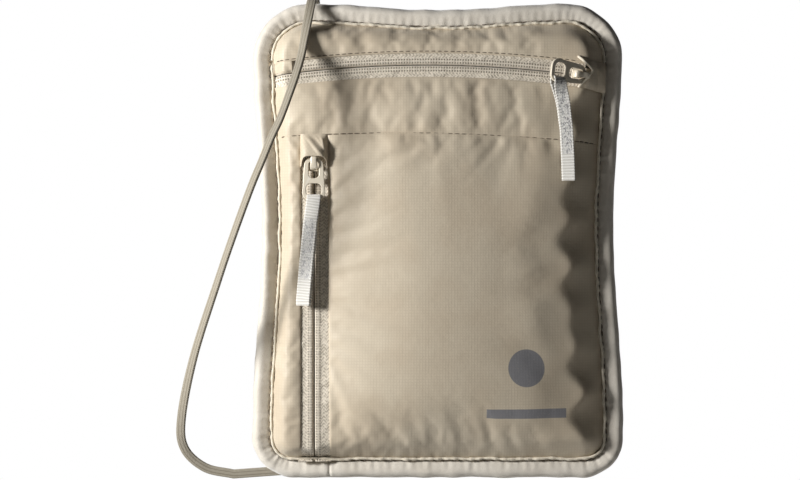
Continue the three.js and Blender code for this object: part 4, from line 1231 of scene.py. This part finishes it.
def build_cord():
    front = spline(CORD_FRONT, 700)
    back = resample(rounded_run(CORD_BACK, 9.5), 900)
    back = np.c_[back[:, 0], np.full(len(back), CORD_BEHIND), back[:, 1]]
    path = resample(np.vstack([front[:-1], back]), 1700)
    s = arc_length(path)
    tangent = unit(np.gradient(path, axis=0))
    # the broad face looks outwards over the top bend, forwards beside the pouch and turns edge-on lower down
    twist = np.interp(s, [0, 22, 38, 70, 130, 165, 200, 225, 250], [0, 0, 36, 46, 50, 40, 15, 0, 0])
    forward = np.interp(s, [0, 8, 14, 24], [-1, -1, 0.2, 1])
    over = np.stack([0 * s, forward, np.interp(s, [0, 8, 16, 26], [0, 0.2, 1, 0])], 1)
    up = unit(over - (over * tangent).sum(1, keepdims=True) * tangent)
    across = np.cross(tangent, up)
    c, sn = np.cos(np.radians(twist))[:, None], np.sin(np.radians(twist))[:, None]
    across, up = across * c + up * sn, up * c - across * sn
    # five round strands side by side
    t = np.linspace(0, 2 * math.pi, 40, endpoint=False)
    strands = 5
    half = 1.75
    a = half * np.sign(np.cos(t)) * np.abs(np.cos(t)) ** 0.7
    ridge = 0.62 + 0.16 * np.abs(np.cos(a / half * strands * math.pi / 2))
    section = np.c_[a, ridge * np.sign(np.sin(t)) * np.abs(np.sin(t)) ** 0.45]
    # the loop's last run is its own piece, on no body: it runs between the swinging cord and its patch on the
    # pouch
    cut = int(np.argmin(np.hypot(path[:, 0] - 15, path[:, 2] + 28.2) + (path[:, 1] > 0) * 1e3))
    for name, part, body, *nodes in (("cord_loop", slice(0, cut + 1), "cord", "neck_cord"),
                                     ("cord_end", slice(cut, None), None)):
        points, faces, weave = sweep(path[part], across[part], up[part], section)
        weave[:, 0] += s[part][0]
        weave[:, 1] = np.tile(a, len(path[part]))
        obj = make_piece(name, (points, faces, weave), CORD, "cord", *nodes, body=body)
    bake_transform(obj)


def build_anchors():
    """Knit patches that hold the cord's two ends to the back, bar-tacked round their edges."""
    for side in ("left", "right"):
        (x0, x1), _, (z0, z1) = cad_box(f"cord_anchor_{side}")
        x, z = np.meshgrid(np.linspace(x0, x1, 31), np.linspace(z0, z1, 31), indexing="xy")
        edge = np.minimum(np.minimum(x - x0, x1 - x), np.minimum(z - z0, z1 - z))
        over = 0.5 * np.exp(-((x - (x0 + x1) / 2) / 1.9) ** 6)
        depth = -0.25 - 0.75 * smooth(edge / 1.0) - over + 0.05 * ripple(x, z, 71, 6, 2)
        shape = sheet(np.stack([x, depth, z], -1), flip=True)
        make_piece(f"anchor_patch_{side}", shape, KNIT_CLOTH, "knit", f"cord_anchor_{side}")
        box = rounded_rect((x1 - x0) / 2 - 1.1, z0 + 1.1, z1 - 1.1, 0.6)
        run = resample(np.vstack([box, box[:1]]), 200)
        path = np.c_[run[:, 0] + (x0 + x1) / 2, np.full(200, -1.05), run[:, 1]]
        stitches = threads(path, (0, -1, 0), 1.7, 1.2, 0.16, seed=3)
        make_piece(f"anchor_stitches_{side}", stitches, THREAD, "knit")


# ---------------------------------------------------------------- topstitching on the panels
def build_topstitching(built):
    """Rows of stitches laid on the finished panels, a little in from their folded edges."""
    strip_x, strip_z = h_zip(np.linspace(-57, 57, 400), TAPE_HALF + 0.15)
    band_x = np.linspace(-60, 60, 400)
    band_z = band_seam(band_x) + 0.2 * np.abs(np.sin(band_x * math.pi / 2.7)) - 0.05
    for name, x, z, pitch, length, radius in (("top_strip", strip_x, strip_z, 2.4, 1.9, 0.18),
                                              ("band", band_x, band_z, 2.7, 2.66, 0.25)):
        co = np.array([v.co for v in built[name].data.vertices]) / MM
        tree = flat_tree(co[:, [0, 2]])
        highest = [max(-co[n[1]][1] for n in tree.find_n((px, pz, 0), 6)) for px, pz in zip(x, z)]
        depth = np.convolve(np.pad(highest, 2, mode="edge"), np.ones(5) / 5, mode="valid")
        stitches = threads(np.c_[x, depth, z], (0, 1, 0), pitch, length, radius, seed=9)
        # these stitches are painted dark as the shade along the folded seam edge
        make_piece(f"{name}_topstitch", stitches, THREAD_PAINTED_SHADE, "ripstop")


# ---------------------------------------------------------------- materials on the hidden CAD nodes
def finish_hidden():
    coils = [f"{zip_}_coil_{side}" for zip_, side in (("h_zip", "upper"), ("h_zip", "lower"),
                                                     ("v_zip", "left"), ("v_zip", "right"))]
    for material, nodes in ((FOAM, ["back_padding"]), (LINING_CLOTH, ["back_lining", "divider_panel"]),
                            (COIL, coils)):
        for node in nodes:
            hidden = bpy.data.objects[node].data.materials
            hidden.clear()
            hidden.append(material)


# ---------------------------------------------------------------- stage
def area_light(name, location, size, power):
    """A square lamp that shines on the origin."""
    data = bpy.data.lights.new(name, "AREA")
    data.shape, data.size, data.energy = "SQUARE", size, power
    obj = add_object(name, data)
    obj.location = location
    obj.rotation_mode = "QUATERNION"
    obj.rotation_quaternion = (-Vector(location)).to_track_quat("-Z", "Y")


def build_stage():
    mesh = bpy.data.meshes.new("floor")
    w, low = 1.6, -0.45
    mesh.from_pydata([(-w, -w, low), (w, -w, low), (w, w, low), (-w, w, low)], [], [(0, 1, 2, 3)])
    paper = Nodes("paper", 0.9, specular=0.1)
    paper.colour(paper.mix(paper.noise(0.01, 2), (0.92, 0.92, 0.91), (0.88, 0.88, 0.87)))
    mesh.materials.append(paper.material)
    add_object("floor", mesh)
    area_light("key", (-0.47, -0.255, 0.09), 0.12, 4.4)
    area_light("fill", (0.1, -1.4, 0.4), 1.2, 0.1)
    area_light("rear", (0.25, 1.25, 0.3), 0.8, 11.0)
    # the world is white to the camera and dim to everything else, so the shaded side stays deep
    world = bpy.data.worlds.new("studio")
    bpy.context.scene.world = world
    world.use_nodes = True
    tree = world.node_tree
    seen = tree.nodes.new("ShaderNodeLightPath").outputs["Is Camera Ray"]
    strength = tree.nodes.new("ShaderNodeMapRange")
    tree.links.new(seen, strength.inputs["Value"])
    strength.inputs["To Min"].default_value, strength.inputs["To Max"].default_value = 0.03, 1.0
    tree.links.new(strength.outputs[0], tree.nodes["Background"].inputs["Strength"])
    tree.nodes["Background"].inputs["Color"].default_value = (1, 1, 1, 1)

    camera = bpy.data.cameras.new("camera")
    camera.lens, camera.sensor_width = 100, 36
    obj = add_object("camera", camera)
    obj.location = (-0.0144, -0.848, 0.0002)
    obj.rotation_euler = (math.radians(90), 0, 0)
    bpy.context.scene.camera = obj
    bpy.context.scene.view_settings.view_transform = "Standard"


built = build_panels()
build_border()
build_piping()
build_back()
build_zip("h", h_zip, -58.7, 59, ((1, "h_zip_tape_upper"), (-1, "h_zip_tape_lower")))
build_zip("v", v_zip, -83.5, float(band_seam(V_X)) + 0.5, ((-1, "v_zip_tape_left"), (1, "v_zip_tape_right")))
build_pulls()
build_hood()
build_tabs()
build_cord()
build_anchors()
build_topstitching(built)
finish_hidden()
build_stage()
